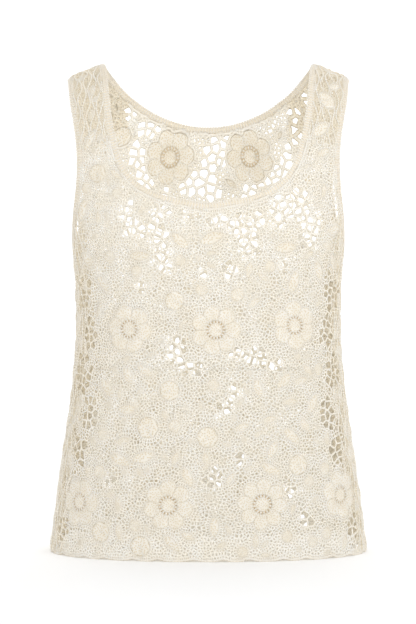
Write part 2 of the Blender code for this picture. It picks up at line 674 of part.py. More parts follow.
def band_mesh(surface, route, width, towards, mirrored=False):
    """A closed edge band: a softly rounded section carried round the route, on the surface."""
    half = BAND_THICKNESS / 2
    section = ((0.0, 0.0), (0.25 * width, half), (width, 0.8 * half),
               (width, -0.8 * half), (0.25 * width, -half))
    rails = [surface.place(*inset_route(surface, route, inset, towards).T, lift) for inset, lift in section]
    count, sides = len(route), len(section)
    verts = np.concatenate(rails)
    faces = []
    for i in range(sides):
        j = (i + 1) % sides
        for k in range(count):
            n = (k + 1) % count
            face = (i * count + k, i * count + n, j * count + n, j * count + k)
            faces.append(face[::-1] if towards < 0 else face)
    if mirrored:
        verts = verts * np.array([-1.0, 1.0, 1.0])
        faces = [face[::-1] for face in faces]
    return verts, faces


def cotton(name, colour, roughness):
    """A plain matt cotton material."""
    material = bpy.data.materials.new(name)
    material.use_nodes = True
    shader = material.node_tree.nodes["Principled BSDF"]
    shader.inputs["Base Color"].default_value = colour
    shader.inputs["Roughness"].default_value = roughness
    shader.inputs["Metallic"].default_value = 0.0
    return material


def add_piece(name, mesh_data, material):
    """Make one named object from points and faces, at the origin."""
    verts, faces = mesh_data
    mesh = bpy.data.meshes.new(name)
    mesh.from_pydata([tuple(v) for v in verts], [], faces)
    mesh.validate()
    mesh.materials.append(material)
    mesh.shade_smooth()
    mesh.set_sharp_from_angle(angle=math.radians(40))
    piece = bpy.data.objects.new(name, mesh)
    bpy.context.scene.collection.objects.link(piece)
    return piece


def main():
    for old in list(bpy.data.objects):
        bpy.data.objects.remove(old, do_unlink=True)
    lace = cotton("cotton lace", LACE_COLOUR, 0.85)
    edging = cotton("cotton edging", BAND_COLOUR, 0.8)
    surface = WornSurface()
    neck = neck_route(surface)
    armhole = armhole_route(surface)
    panel_neck = inset_route(surface, neck, NECK_BAND_WIDTH + SEAM_GAP, NECK_INWARD)
    panel_armhole = inset_route(surface, armhole, ARMHOLE_BAND_WIDTH + SEAM_GAP, ARMHOLE_INWARD)
    for side in ("front", "back"):
        outline = panel_outline(surface, side, panel_neck, panel_armhole)
        gaps = lace_gaps(surface, side, outline)
        add_piece(side + "_panel", panel_mesh(surface, side, outline, gaps), lace)
    add_piece("neck_band", band_mesh(surface, neck, NECK_BAND_WIDTH, NECK_INWARD), edging)
    for name, mirrored in (("armhole_band_left", False), ("armhole_band_right", True)):
        add_piece(name, band_mesh(surface, armhole, ARMHOLE_BAND_WIDTH, ARMHOLE_INWARD, mirrored), edging)


main()
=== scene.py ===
"""The looks of a crochet lace tank top in its worn form, laid out as a Blender add-on and run as a script.

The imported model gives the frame. Each panel is a real net of crocheted bars on the worn surface that
the solids lie on, with the same wide gaps, and with flowers, leaves and rosettes worked into it.
A place on the cloth is given as `across` from the centre line and `down` from the shoulder line.
"""
import math
import random
from collections import namedtuple
from functools import lru_cache

import bmesh
import bpy
import numpy as np
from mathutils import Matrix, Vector
from mathutils.geometry import delaunay_2d_cdt
from mathutils.kdtree import KDTree


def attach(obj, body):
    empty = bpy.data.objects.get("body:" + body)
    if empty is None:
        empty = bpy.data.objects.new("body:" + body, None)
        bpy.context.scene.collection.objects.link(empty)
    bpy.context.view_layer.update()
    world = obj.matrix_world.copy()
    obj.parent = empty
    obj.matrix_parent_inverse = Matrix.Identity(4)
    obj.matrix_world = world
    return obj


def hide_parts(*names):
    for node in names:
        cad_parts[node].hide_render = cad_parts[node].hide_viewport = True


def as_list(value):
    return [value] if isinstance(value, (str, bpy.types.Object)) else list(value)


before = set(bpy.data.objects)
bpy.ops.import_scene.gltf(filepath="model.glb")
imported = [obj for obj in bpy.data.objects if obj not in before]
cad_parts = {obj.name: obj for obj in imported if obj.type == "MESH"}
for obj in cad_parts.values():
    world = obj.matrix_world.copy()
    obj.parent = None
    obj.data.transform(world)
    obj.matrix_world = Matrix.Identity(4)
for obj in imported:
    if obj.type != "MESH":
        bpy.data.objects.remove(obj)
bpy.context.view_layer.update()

bl_info = {
    "name": "Crochet Lace Top",
    "version": (1, 0, 0),
    "blender": (4, 5, 0),
    "location": "3D View > Sidebar > Lace Top",
    "description": "Builds a crochet lace tank top: panels, flowers, edge bands and stage",
    "category": "Object",
}

MM = 0.001

# Cloth and seams
SEAM_GAP = 0.3 * MM
NECK_BAND_WIDTH = 6.5 * MM
ARMHOLE_BAND_WIDTH = 5.5 * MM
HEM_DROP = 562.5 * MM
SCALLOP_DEPTH = 2.6 * MM
SCALLOP_WIDTH = 34.0 * MM
SCALLOP_ROUND = 0.7
EDGE_CLEAR = 1.0 * MM

# Shoulders
NECK_POINT = 116.0 * MM
SHOULDER_FALL = 0.430
CENTRE_EASE = 50.0 * MM
SQUARENESS = 2.2

# The worn form: one row for each level, from the shoulder line to below the hem.
# slope is the share of the shoulder's fall that the level still has.
Section = namedtuple("Section", "drop half_width front_depth back_depth slope")
SECTIONS = (
    Section(0.000, 0.2000, 0.0000, 0.0000, 1.00),
    Section(0.006, 0.1995, 0.0280, 0.0280, 1.00),
    Section(0.020, 0.1985, 0.0520, 0.0520, 0.97),
    Section(0.042, 0.1950, 0.0700, 0.0710, 0.88),
    Section(0.072, 0.1880, 0.0830, 0.0850, 0.68),
    Section(0.105, 0.1785, 0.0945, 0.0935, 0.43),
    Section(0.142, 0.1698, 0.1040, 0.0975, 0.20),
    Section(0.180, 0.1637, 0.1110, 0.0970, 0.06),
    Section(0.220, 0.1562, 0.1145, 0.0940, 0.00),
    Section(0.265, 0.1525, 0.1145, 0.0895, 0.00),
    Section(0.311, 0.1522, 0.1110, 0.0860, 0.00),
    Section(0.357, 0.1549, 0.1090, 0.0850, 0.00),
    Section(0.415, 0.1620, 0.1110, 0.0890, 0.00),
    Section(0.470, 0.1697, 0.1160, 0.0970, 0.00),
    Section(0.520, 0.1766, 0.1210, 0.1050, 0.00),
    Section(0.568, 0.1823, 0.1255, 0.1120, 0.00),
    Section(0.610, 0.1870, 0.1290, 0.1170, 0.00),
)

# The neck edge seen from the front, from the centre line out to the shoulder
EdgePoint = namedtuple("EdgePoint", "x drop")
FRONT_NECK = (
    EdgePoint(0.0000, 0.1690), EdgePoint(0.0270, 0.1650), EdgePoint(0.0560, 0.1575),
    EdgePoint(0.0785, 0.1450), EdgePoint(0.0950, 0.1235), EdgePoint(0.1050, 0.0930),
    EdgePoint(0.1105, 0.0620), EdgePoint(0.1145, 0.0280),
)
BACK_NECK = (
    EdgePoint(0.1110, 0.0153), EdgePoint(0.0985, 0.0290), EdgePoint(0.0800, 0.0432),
    EdgePoint(0.0436, 0.0612), EdgePoint(0.0225, 0.0665), EdgePoint(0.0000, 0.0684),
)

# The armhole edge: how far it is cut in from the side line, by distance down from the shoulder
ArmholeCut = namedtuple("ArmholeCut", "down inset")
ARMHOLE = (
    ArmholeCut(0.000, 0.0408), ArmholeCut(0.018, 0.0435), ArmholeCut(0.038, 0.0507),
    ArmholeCut(0.074, 0.0618), ArmholeCut(0.113, 0.0679), ArmholeCut(0.147, 0.0672),
    ArmholeCut(0.185, 0.0608), ArmholeCut(0.220, 0.0485), ArmholeCut(0.246, 0.0330),
    ArmholeCut(0.260, 0.0180),
)
UNDERARM_DOWN = 0.2665

# Flowers of the lace, as seen from the front: centre, outer radius, petals, turn in degrees.
# Each stands out from the wall as a round ring with domed petals about it.
Flower = namedtuple("Flower", "x drop radius petals turn")
FRONT_FLOWERS = (
    Flower(-0.0885, 0.309, 0.027, 6, 10), Flower(0.0080, 0.310, 0.028, 7, 0),
    Flower(0.0963, 0.305, 0.027, 6, 25), Flower(-0.1450, 0.504, 0.027, 6, 0),
    Flower(-0.0448, 0.504, 0.028, 7, 12), Flower(0.0597, 0.503, 0.029, 8, 5),
    Flower(0.1486, 0.496, 0.027, 6, 15),
)
BACK_FLOWERS = (
    Flower(-0.0460, 0.104, 0.030, 7, 0), Flower(0.0500, 0.103, 0.029, 7, 14),
    *(flower._replace(x=-flower.x) for flower in FRONT_FLOWERS),
)

# Open stretches of the lace, as seen from the front: where the gaps are wide enough to cut
Opening = namedtuple("Opening", "x drop half_width half_height")
FRONT_OPENINGS = (
    Opening(-0.090, 0.181, 0.0089, 0.0155), Opening(-0.078, 0.197, 0.0166, 0.0100),
    Opening(-0.052, 0.213, 0.0122, 0.0166), Opening(-0.054, 0.180, 0.0133, 0.0078),
    Opening(-0.020, 0.179, 0.0122, 0.0089), Opening(0.010, 0.188, 0.0100, 0.0067),
    Opening(-0.051, 0.238, 0.0089, 0.0100), Opening(0.033, 0.196, 0.0133, 0.0133),
    Opening(0.046, 0.217, 0.0133, 0.0144), Opening(0.057, 0.189, 0.0067, 0.0122),
    Opening(0.026, 0.245, 0.0100, 0.0100), Opening(0.077, 0.181, 0.0089, 0.0200),
    Opening(0.099, 0.171, 0.0155, 0.0189), Opening(0.113, 0.200, 0.0122, 0.0189),
    Opening(-0.075, 0.262, 0.0067, 0.0089), Opening(-0.004, 0.245, 0.0067, 0.0067),
    Opening(0.084, 0.241, 0.0044, 0.0089), Opening(-0.035, 0.332, 0.0111, 0.0177),
    Opening(-0.020, 0.351, 0.0111, 0.0089), Opening(0.031, 0.337, 0.0100, 0.0067),
    Opening(0.054, 0.340, 0.0155, 0.0100), Opening(0.074, 0.350, 0.0078, 0.0067),
    Opening(0.029, 0.380, 0.0078, 0.0078), Opening(0.021, 0.396, 0.0111, 0.0100),
    Opening(0.007, 0.474, 0.0111, 0.0122), Opening(0.092, 0.489, 0.0122, 0.0067),
    Opening(0.108, 0.521, 0.0078, 0.0067), Opening(-0.111, 0.480, 0.0078, 0.0067),
    Opening(0.033, 0.453, 0.0078, 0.0055),
)
FRONT_SIDE_OPENINGS = (
    Opening(0.1400, 0.268, 0.008, 0.020), Opening(0.1330, 0.312, 0.008, 0.020),
    Opening(0.1400, 0.358, 0.009, 0.022), Opening(0.1340, 0.404, 0.008, 0.020),
    Opening(0.1450, 0.446, 0.008, 0.018), Opening(0.1640, 0.534, 0.007, 0.015),
)
BACK_OPENINGS = (
    Opening(-0.093, 0.053, 0.0120, 0.0120), Opening(-0.074, 0.072, 0.0156, 0.0096),
    Opening(-0.086, 0.098, 0.0120, 0.0168), Opening(-0.078, 0.128, 0.0132, 0.0120),
    Opening(-0.039, 0.072, 0.0132, 0.0072), Opening(0.010, 0.084, 0.0132, 0.0132),
    Opening(0.008, 0.107, 0.0156, 0.0132), Opening(-0.010, 0.125, 0.0156, 0.0096),
    Opening(-0.024, 0.139, 0.0156, 0.0132), Opening(0.004, 0.141, 0.0144, 0.0144),
    Opening(0.101, 0.053, 0.0096, 0.0168), Opening(0.104, 0.076, 0.0096, 0.0120),
    Opening(0.097, 0.099, 0.0096, 0.0120), Opening(0.089, 0.119, 0.0108, 0.0108),
    Opening(0.068, 0.128, 0.0132, 0.0120), Opening(0.053, 0.140, 0.0096, 0.0084),
    Opening(0.114, 0.035, 0.0072, 0.0084), Opening(0.042, 0.151, 0.0096, 0.0072),
    Opening(-0.051, 0.146, 0.0096, 0.0072),
)

FLOWERS = {"front": FRONT_FLOWERS, "back": BACK_FLOWERS}
OPENINGS = {"front": (FRONT_OPENINGS, FRONT_SIDE_OPENINGS), "back": (BACK_OPENINGS, ())}

# Net between the motifs
NET_SEED = 11
NET_SPACING = {"front": 7.4 * MM, "back": 8.8 * MM}
NET_BAR = 2.2 * MM
MOTIF_MARGIN = 4.2 * MM
SHORTEST_SIDE = 1.6 * MM
EDGE_MARGIN = 2.4 * MM
RING_SPACING = (0.9, 1.1)
FLOWER_CLEARANCE = 1.9
SHORTEST_RUN = 0.01 * MM
CELL_SNAP = 1e-7

# A hole with this label or a higher one stands alone. Holes with a lower one share an open stretch.
LOOSE_LABEL = 1_000_000
BODY = "root"

# The fine lace net
STITCH_WANDER = 0.30
PAIR_SPACING = 2.4 * MM
GAP_INNER = 1.0 * MM
GAP_OUTER = 2.6 * MM
EDGE_OUTER = 0.4 * MM
EDGE_INNER = 2.0 * MM
MOTIF_INNER = 1.0 * MM
MOTIF_OUTER = 2.0 * MM
PARTNER_CLEARANCE = 0.68
FILL_CLEARANCE = 0.76
SHORTEST_BAR = 0.85 * MM
BAR_REACH_CAP = 2.2
HOLE_KEPT = {"front": 0.24, "back": 0.16}
BORDER_BAR = 1.15
BAR_WANDER = 0.12 * MM
SMALLEST_OPEN_GAP = 2.6 * MM
NET_PIECES = ("upper", "lower")
SHORTEST_CORE = 0.3 * MM
MERGE_REACH = 1.3
BLUNT_REACH = 1.25
NET_SNAP = 1e-9
ROW_SHARE = 0.866
BAR_WIDTHS = (0.86, 1.16)
BAR_RISES = (0.8, 1.25)

# Openings of the front that show daylight have one behind them in the back
SIGHT_SHARE = 1.084
SIGHT_DROP = 0.290
SIGHT_TOP = 0.170
SIGHT_MARGIN = 1.25

# Flowers: a domed heart, a ring of posts over a deep round whose dark colour is painted shade, and ribbed
# petals
HEART_EYE = 0.05 * MM
HEART_RADIUS = 8.2 * MM
HEART_RISE = 1.0 * MM
WELL_SIDES = (7.4 * MM, 11.0 * MM)
RING_POSTS = 16
RING_STITCH = (2.3 * MM, 1.5 * MM)
RING_LIFT = 0.75 * MM
POST_RING = 9.2 * MM
POST_REACH = 3.6 * MM
UNIT_RADIUS = 28.0 * MM
UNIT_PETALS = 7
PETAL_NOTCH = 0.24
PETAL_ROUND = 2.4
PETAL_FOOT = 10.2 * MM
PETAL_FULLNESS = 6
PETAL_RIBS = 5
PETAL_SEAT = 0.5 * MM
PETAL_RISE = 0.8 * MM
PETAL_SKIN = 0.7 * MM
RIB_RISE = 0.34 * MM
PETAL_ARCH = (0.2, 0.66)
PETAL_GRID = (8, 15)
PETAL_STEPS = 10

# Leaves, rosettes and buttons
LEAF_FULLNESS = 0.75
LEAF_SEAT = 0.4 * MM
LEAF_RISE = 0.6 * MM
LEAF_SKIN = 0.6 * MM
MIDRIB_RISE = 0.30 * MM
VEIN_RISE = 0.10 * MM
LEAF_CROWN = 0.6
MIDRIB_WIDTH = 0.16
VEINS = (7, 2.2)
LEAF_THREAD = (22.0, 5.0)
LEAF_GRID = (9, 9)
LEAF_STEPS = 13
ROSETTE_RISE = 0.9 * MM
ROSETTE_EYE = 0.04
ROSETTE_LOBE = 0.14
ROSETTE_HEART = 0.22
ROSETTE_FOOT = 0.2
ROSETTE_HOLLOW = 0.35
ROSETTE_THREAD = 21.0
ROSETTE_ROWS = 7
LOBE_COLUMNS = 4
ROUND_COLUMNS = 21
ROUND_ROWS = 6
ROUND_STEPS = 19
ROSETTE_PETALS = 6
BUTTON_PETALS = 5
MOTIF_SEEDS = {"front": 23, "back": 41}
MOTIF_ROOM = 2.8 * MM
MOTIF_SIZES = (0.85, 1.12)
TAKEN_SPACING = 2.0 * MM
Throw = namedtuple("Throw", "kind length width most tries")
THROWS = (
    Throw("rosette", 23.0 * MM, 23.0 * MM, 12, 900),
    Throw("leaf", 28.0 * MM, 12.0 * MM, 36, 1800),
    Throw("rosette", 15.0 * MM, 15.0 * MM, 26, 1200),
    Throw("leaf", 20.0 * MM, 8.5 * MM, 40, 1800),
    Throw("leaf", 13.0 * MM, 6.0 * MM, 44, 1200),
    Throw("button", 7.5 * MM, 7.5 * MM, 46, 1200),
)

# Edge bands, hem and seams
BAND_RAILS = 5
CHAIN_PITCH = 3.3 * MM
CHAIN_STITCH = (3.9 * MM, 1.7 * MM, 2.1 * MM)
CHAIN_SLANT = 0.42
POST_PITCH = 3.3 * MM
POST_STITCH = (1.5 * MM, 1.4 * MM)
POST_LEAN = 0.26
BEAD_SIDES = 5
BEAD_RINGS = 4
BAND_BODY = (0.75 * MM, 1.8 * MM, 0.20 * MM)
# Painted shade: the thread coordinate of the band's middle, which the material paints darker between the
# stitches
BODY_PAINTED_SHADE = 1.12
CORD_PITCH = 2.6 * MM
CORD_REACH = 3.5 * MM
CORD_TURN = 0.30
CORD_LIFT = 0.85 * MM
CORD_INSET = 0.3 * MM
CHAIN_ASIDE = 0.42
CHAIN_INSETS = (0.9 * MM, 0.7 * MM)
POST_MARGIN = 2.4 * MM
POST_OFFSET = 0.1 * MM
BEAD_TAPER = 0.6
BEAD_THREAD = 3.0
BAND_LOOSE = (0.04, 0.05)
HEM_LOOSE = (0.05, 0.06)
HEM_CORD_RISE = 0.7 * MM
SEAM_PITCH = 3.6 * MM
SEAM_BITE = 1.9 * MM
SEAM_LIFT = 0.5 * MM
SEAM_STITCH = (1.2 * MM, 1.3 * MM)
SEAM_END = 2.0 * MM
SHOULDER_REACH = 40.0 * MM

# Stage and camera
FLOOR_LEVEL = -0.5657
PAPER_BEND = 2.7
BEND_RADIUS = 0.8
BEND_STEPS = 9
FLOOR_FRONT = -3.0
PAPER_REACH = 8.5
PAPER_TOP = 6.0
CAMERA_DISTANCE = 2.5
CAMERA_LEVEL = -0.290
CAMERA_SIDE = -0.0004
SENSOR_HEIGHT = 24.0
LENS = 82.9
Light = namedtuple("Light", "name place size power")
LIGHTS = (
    Light("key", (1.5, -2.4, 0.8), (1.8, 1.8), 18.0),
    Light("fill", (-0.8, -2.7, 0.2), (1.8, 1.8), 4.0),
    Light("behind", (0.0, 0.9, 0.7), (1.2, 0.5), 3.0),
)

# The sky is full in front, where y is -1, and has this share at the sides and behind
SIDE_SKY = 0.50
FRONT_SKY = (0.0, -1.0)

# Cotton
TONE_SCALE = 55.0
TONE_DETAIL = 2.0
TONE_RANGE = (0.38, 0.62)
TONE_LOW = (0.985, 0.965, 0.925)
LIGHT_THROUGH = 0.36
# Painted light: the thread glows by itself, lifting its shadows and the inside of the top
PAINTED_GLOW = 0.085
ROUGHNESS = 0.85
SHEEN = (0.15, 0.5)
TWIST = (0.7, 0.6)
BUMP = (0.4, 0.00015)
# Painted shade: the thread is coloured darker in crevices, where ambient occlusion finds its surroundings
# close
CREVICE_SAMPLES = 4
CREVICE_REACH = 3.5 * MM
CREVICE_RANGE = (0.12, 0.62)
CREVICE_PAINTED_SHADE = (0.90, 0.85, 0.76)
# Painted shade: bars and stitches coloured darker at their sides than on their crests
EDGE_PAINTED_SHADE = (0.94, 0.895, 0.805)
# Painted shade: in the zones of long stitches the net's bars are coloured darker, by a random share for each
# bar, standing in for the dim inside between the cords
LONG_ZONE_PAINTED_SHADE = (0.82, 0.75, 0.62)
LONG_ZONE_SHADE_RANGE = (0.6, 1.3)
LONG_ZONE_FADE = 30.0 * MM
LONG_ZONE_SHADE_MIX = (0.25, 0.95)
EDGE_RANGE = (0.30, 0.5)
# Painted shade: a dark sheet behind each flower's ring of posts, seen between them
WELL_PAINTED_SHADE = {"front": (0.86, 0.79, 0.67), "back": (0.93, 0.885, 0.80)}
# Painted shade: dots of darker tone in the crevices between the stitches of petals, leaves and rosettes
DOT_SCALE = 0.42
DOT_WANDER = 0.75
DOT_EDGE = (0.14, 0.40)
DOT_PAINTED_SHADE = (0.84, 0.77, 0.64)

# How finely the worn surface and its edges are worked out
ROW_STEP = 2.0 * MM
ROW_POINTS = 120
BAND_STATION = 9.0 * MM
SEAM_STATION = 16.0 * MM
STATION_PARTS = 4
FEWEST_ROUND = 6
FEWEST_CLOSED = 8
INSET_PROBE = 0.5 * MM
INSET_STEPS = 3
EDGE_SPACING = 1.0 * MM
PATH_SPACING = 0.8 * MM
CORD_STEP = 1.5 * MM
LOOK_AHEAD = 0.2 * MM
WELD_REACH = 1e-6
EMPTY_AREA = 1e-12
COPY_SEED = 5
SCATTER_TRIES = 60
SCALLOP_STEPS = 5
SCALLOP_SHARES = (1.0, 1.25, 0.85, 1.1, 0.8, 1.2, 0.9)
NECK_INWARD = -1
ARMHOLE_INWARD = 1

# Hand work: the cloth's own waves, its long stitches at the sides, and the dense hem
WAVES = ((0.35 * MM, 230.0, 90.0), (0.35 * MM, -110.0, 210.0), (0.25 * MM, 390.0, 310.0))
SIDE_ZONE = 68.0 * MM
STRAP_ZONE = (98.0 * MM, 150.0 * MM)
LONG_STITCH = {"front": (1.35, 3.3), "back": (1.0, 1.4)}
LONG_KEPT = 0.34
EDGE_DENSE = 3.5 * MM
HEM_DENSE = 26.0 * MM
DENSE_BAR = 1.5
DENSE_KEPT = 0.12
CORNER_DROP = 2.6 * MM
CORNER_REACH = 7.0 * MM
SIDE_CORDS = tuple(offset * MM for offset in (8, 15, 22, 29, 37, 46, 56))
STRAP_CORDS = tuple(offset * MM for offset in (108, 114, 119, 125, 130, 136, 142, 148, 154, 160, 166))
CORD_SWAY = 2.2 * MM
CORD_WAVE = 41.0 * MM
CORD_PHASE = 2.2
LONG_CORD = (4.8 * MM, 2.2 * MM, 2.0 * MM)
LONG_PITCH = 3.4 * MM
LONG_LIFT = 0.8 * MM
LONG_TURN = 0.16


def smooth_values(knots, values, at, first_slope=None):
    """Read a smooth curve through `values` at the places `at`."""
    slopes = np.gradient(values, knots)
    if first_slope is not None:
        slopes[0] = first_slope
    piece = np.clip(np.searchsorted(knots, at, side="right") - 1, 0, len(knots) - 2)
    span = knots[piece + 1] - knots[piece]
    s = (at - knots[piece]) / span
    start = (2 * s**3 - 3 * s**2 + 1) * values[piece] + (s**3 - 2 * s**2 + s) * span * slopes[piece]
    end = (3 * s**2 - 2 * s**3) * values[piece + 1] + (s**3 - s**2) * span * slopes[piece + 1]
    return start + end


class WornSurface:
    """The surface that the cloth lies on, as grids of points and normals for front and back."""

    def __init__(self):
        table = np.array(SECTIONS)
        mean_depth = (table[:, 2] + table[:, 3]) / 2
        steps = np.hypot(np.diff(table[:, 0]), np.diff(mean_depth))
        knots = np.concatenate(([0.0], np.cumsum(steps)))
        self.down = np.arange(0.0, knots[-1], ROW_STEP)
        drop = smooth_values(knots, table[:, 0], self.down, first_slope=0.0)
        half_width = smooth_values(knots, table[:, 1], self.down, first_slope=0.0)
        slope = smooth_values(knots, table[:, 4], self.down, first_slope=0.0)
        turn = np.linspace(0.0, math.pi / 2, ROW_POINTS + 1)
        reach = np.sin(turn) ** (2 / SQUARENESS)
        depth_share = np.abs(np.cos(turn)) ** (2 / SQUARENESS)
        self.row_x = half_width[:, None] * reach
        fall = SHOULDER_FALL * (np.hypot(self.row_x, CENTRE_EASE) - math.hypot(NECK_POINT, CENTRE_EASE))
        self.row_z = -drop[:, None] - slope[:, None] * fall
        self.girth = {}
        self.arc = {}
        self.points = {}
        self.normals = {}
        for side, column, sign in (("front", 2, -1.0), ("back", 3, 1.0)):
            depth = smooth_values(knots, table[:, column], self.down, first_slope=1.0)
            row_y = sign * depth[:, None] * depth_share
            self._measure(side, np.stack([self.row_x, row_y, self.row_z], axis=-1), sign)

    def _measure(self, side, rows, sign):
        """Space the points of each row evenly along the cloth, and work out the normals."""
        steps = np.linalg.norm(np.diff(rows, axis=1), axis=-1)
        arc = np.concatenate((np.zeros((len(rows), 1)), np.cumsum(steps, axis=1)), axis=1)
        even = np.linspace(0.0, 1.0, ROW_POINTS + 1)
        points = np.empty_like(rows)
        for row in range(len(rows)):
            for axis in range(3):
                points[row, :, axis] = np.interp(even * arc[row, -1], arc[row], rows[row, :, axis])
        along_row = np.gradient(points, axis=1)
        along_row[:, 0, 1:] = 0.0
        along_row[:, -1] = (0.0, -sign, 0.0)
        along_column = np.gradient(points, axis=0)
        normals = np.cross(along_row, along_column) * sign
        normals[0] = normals[1]
        normals /= np.linalg.norm(normals, axis=-1, keepdims=True)
        self.arc[side] = arc
        self.girth[side] = arc[:, -1]
        self.points[side] = points
        self.normals[side] = normals

    def reach_at(self, side, down):
        """Distance along the cloth from the centre line to the side line, at a level."""
        return np.interp(down, self.down, self.girth[side])

    def side_line(self, down):
        """How far across the side line is, for downs that are negative on the front."""
        return np.where(down < 0.0, self.reach_at("front", -down), self.reach_at("back", down))

    def hem_level(self):
        """How far down the cloth the hem lies."""
        return float(np.interp(HEM_DROP, -self.row_z[:, 0], self.down))

    def place(self, across, down, lift=0.0):
        """Points on the cloth, `lift` outside the surface. Arrays in, an array of points out."""
        across, down = np.broadcast_arrays(np.asarray(across, float), np.asarray(down, float))
        result = np.empty(across.shape + (3,))
        lift = np.broadcast_to(lift, across.shape)[..., None]
        for side, mask in (("front", down < 0.0), ("back", down >= 0.0)):
            if mask.any():
                result[mask] = self._read(side, np.abs(across[mask]), np.abs(down[mask]), lift[mask])
        result[..., 0] *= np.where(across < 0.0, -1.0, 1.0)
        return result

    def _read(self, side, across, down, lift):
        """Points of one side, blended between the four nearest of its grid."""
        row = np.clip(down / ROW_STEP, 0.0, len(self.down) - 1.001)
        column = np.clip(across / self.reach_at(side, down), 0.0, 1.0) * ROW_POINTS
        column = np.minimum(column, ROW_POINTS - 0.001)
        top = row.astype(int)
        left = column.astype(int)
        v = (row - top)[:, None]
        u = (column - left)[:, None]

        def blend(grid):
            upper = grid[top, left] * (1 - u) + grid[top, left + 1] * u
            lower = grid[top + 1, left] * (1 - u) + grid[top + 1, left + 1] * u
            return upper * (1 - v) + lower * v

        normal = blend(self.normals[side])
        normal /= np.linalg.norm(normal, axis=-1, keepdims=True)
        return blend(self.points[side]) + normal * lift

    def cloth_place(self, side, x, drop):
        """Where a point seen from the front at x and drop lies on the cloth, as (across, down)."""
        width = abs(x)
        levels = np.array([np.interp(width, self.row_x[i], self.row_z[i]) for i in range(len(self.down))])
        down = np.interp(drop, -levels, self.down)
        arcs = np.array([np.interp(width, self.row_x[i], self.arc[side][i]) for i in range(len(self.down))])
        return math.copysign(np.interp(down, self.down, arcs), x), down


def lengths_along(path):
    """How far along an open path each of its points lies."""
    return np.concatenate(([0.0], np.cumsum(np.linalg.norm(np.diff(path, axis=0), axis=1))))


def places_at(path, lengths, at):
    """The places on an open path at given lengths along it."""
    return np.stack([np.interp(at, lengths, path[:, axis]) for axis in range(2)], axis=1)


def closed_path(loop):
    """A closed polygon as a path that ends where it starts."""
    return np.concatenate([loop, loop[:1]])


def curve_through(points, spacing):
    """A smooth open curve through the points, resampled at about `spacing`."""
    points = np.asarray(points, float)
    knots = lengths_along(points)
    count = max(2, int(round(knots[-1] / spacing)))
    at = np.linspace(0.0, knots[-1], count + 1)
    return np.stack([smooth_values(knots, points[:, axis], at) for axis in range(2)], axis=1)


def neck_route(surface):
    """The neck edge as a closed loop of (across, down), from the front centre round."""
    half = []
    for point in FRONT_NECK:
        across, down = surface.cloth_place("front", point.x, point.drop)
        half.append((across, -down))
    for point in BACK_NECK:
        half.append(surface.cloth_place("back", point.x, point.drop))
    mirrored = [(-across, down) for across, down in half]
    lead_in = mirrored[2:0:-1]
    lead_out = mirrored[-2:-4:-1]
    full = curve_through(lead_in + half + lead_out, BAND_STATION / STATION_PARTS)
    start = int(np.argmin(np.hypot(full[:, 0] - half[0][0], full[:, 1] - half[0][1])))
    end = int(np.argmin(np.hypot(full[:, 0] - half[-1][0], full[:, 1] - half[-1][1])))
    right = full[start:end + 1]
    right[0, 0] = 0.0
    right[-1, 0] = 0.0
    left = right[-2:0:-1] * np.array([-1.0, 1.0])
    return np.concatenate([right, left])[::STATION_PARTS]


def armhole_route(surface):
    """The armhole edge of the +X side, from the underarm up the front, over and down the back."""
    half = [(0.0, UNDERARM_DOWN)] + [(cut.inset, cut.down) for cut in reversed(ARMHOLE)]
    front = [(inset, -down) for inset, down in half]
    back = [(inset, down) for inset, down in reversed(half[:-1])]
    lead_in = [(-front[2][0], front[2][1]), (-front[1][0], front[1][1])]
    lead_out = [(-back[-2][0], back[-2][1]), (-back[-3][0], back[-3][1])]
    full = curve_through(lead_in + front + back + lead_out, BAND_STATION / STATION_PARTS)
    start = int(np.argmin(np.hypot(full[:, 0], full[:, 1] + UNDERARM_DOWN)))
    end = int(np.argmin(np.hypot(full[:, 0], full[:, 1] - UNDERARM_DOWN)))
    route = full[start:end:STATION_PARTS]
    route[0, 0] = 0.0
    return np.stack([surface.side_line(route[:, 1]) - route[:, 0], route[:, 1]], axis=1)


def inset_route(surface, route, distance, towards):
    """Move a closed route sideways on the surface, to the side where `towards` is +1 or -1."""
    reach = INSET_PROBE
    moved = route.copy()
    for _ in range(INSET_STEPS):
        across, down = moved[:, 0], moved[:, 1]
        here = surface.place(across, down)
        tangent = np.roll(here, -1, axis=0) - np.roll(here, 1, axis=0)
        tangent /= np.linalg.norm(tangent, axis=1, keepdims=True)
        sideways = np.cross(surface.place(across, down, 1.0) - here, tangent) * towards
        inwards = across - np.copysign(reach, across)
        by_across = (here - surface.place(inwards, down)) / np.copysign(reach, across)[:, None]
        by_down = (surface.place(across, down + reach) - surface.place(across, down - reach)) / (2 * reach)
        aa, ad, dd = (np.sum(u * v, axis=1) for u, v in
                      ((by_across, by_across), (by_across, by_down), (by_down, by_down)))
        sa, sd = (np.sum(sideways * u, axis=1) for u in (by_across, by_down))
        share = distance / INSET_STEPS / (aa * dd - ad * ad)
        moved[:, 0] += share * (sa * dd - sd * ad)
        moved[:, 1] += share * (sd * aa - sa * ad)
        moved[:, 0] = np.minimum(moved[:, 0], surface.side_line(moved[:, 1]))
    return moved


def hem_line(surface, side, level):
    """The scalloped hem from the +X side line to the other, as (across, down)."""
    reach = float(surface.reach_at(side, level)) - SEAM_GAP / 2
    lobes = int(round(2 * reach / SCALLOP_WIDTH))
    widths = np.array([SCALLOP_SHARES[i % len(SCALLOP_SHARES)] for i in range(lobes)])
    edges = reach - np.concatenate(([0.0], np.cumsum(widths))) / widths.sum() * 2 * reach
    line = []
    for lobe in range(lobes):
        for step in range(SCALLOP_STEPS):
            share = step / SCALLOP_STEPS
            across = edges[lobe] + share * (edges[lobe + 1] - edges[lobe])
            line.append((across, level + SCALLOP_DEPTH * math.sin(math.pi * share) ** SCALLOP_ROUND))
    line.append((edges[-1], level))
    return np.array(line)


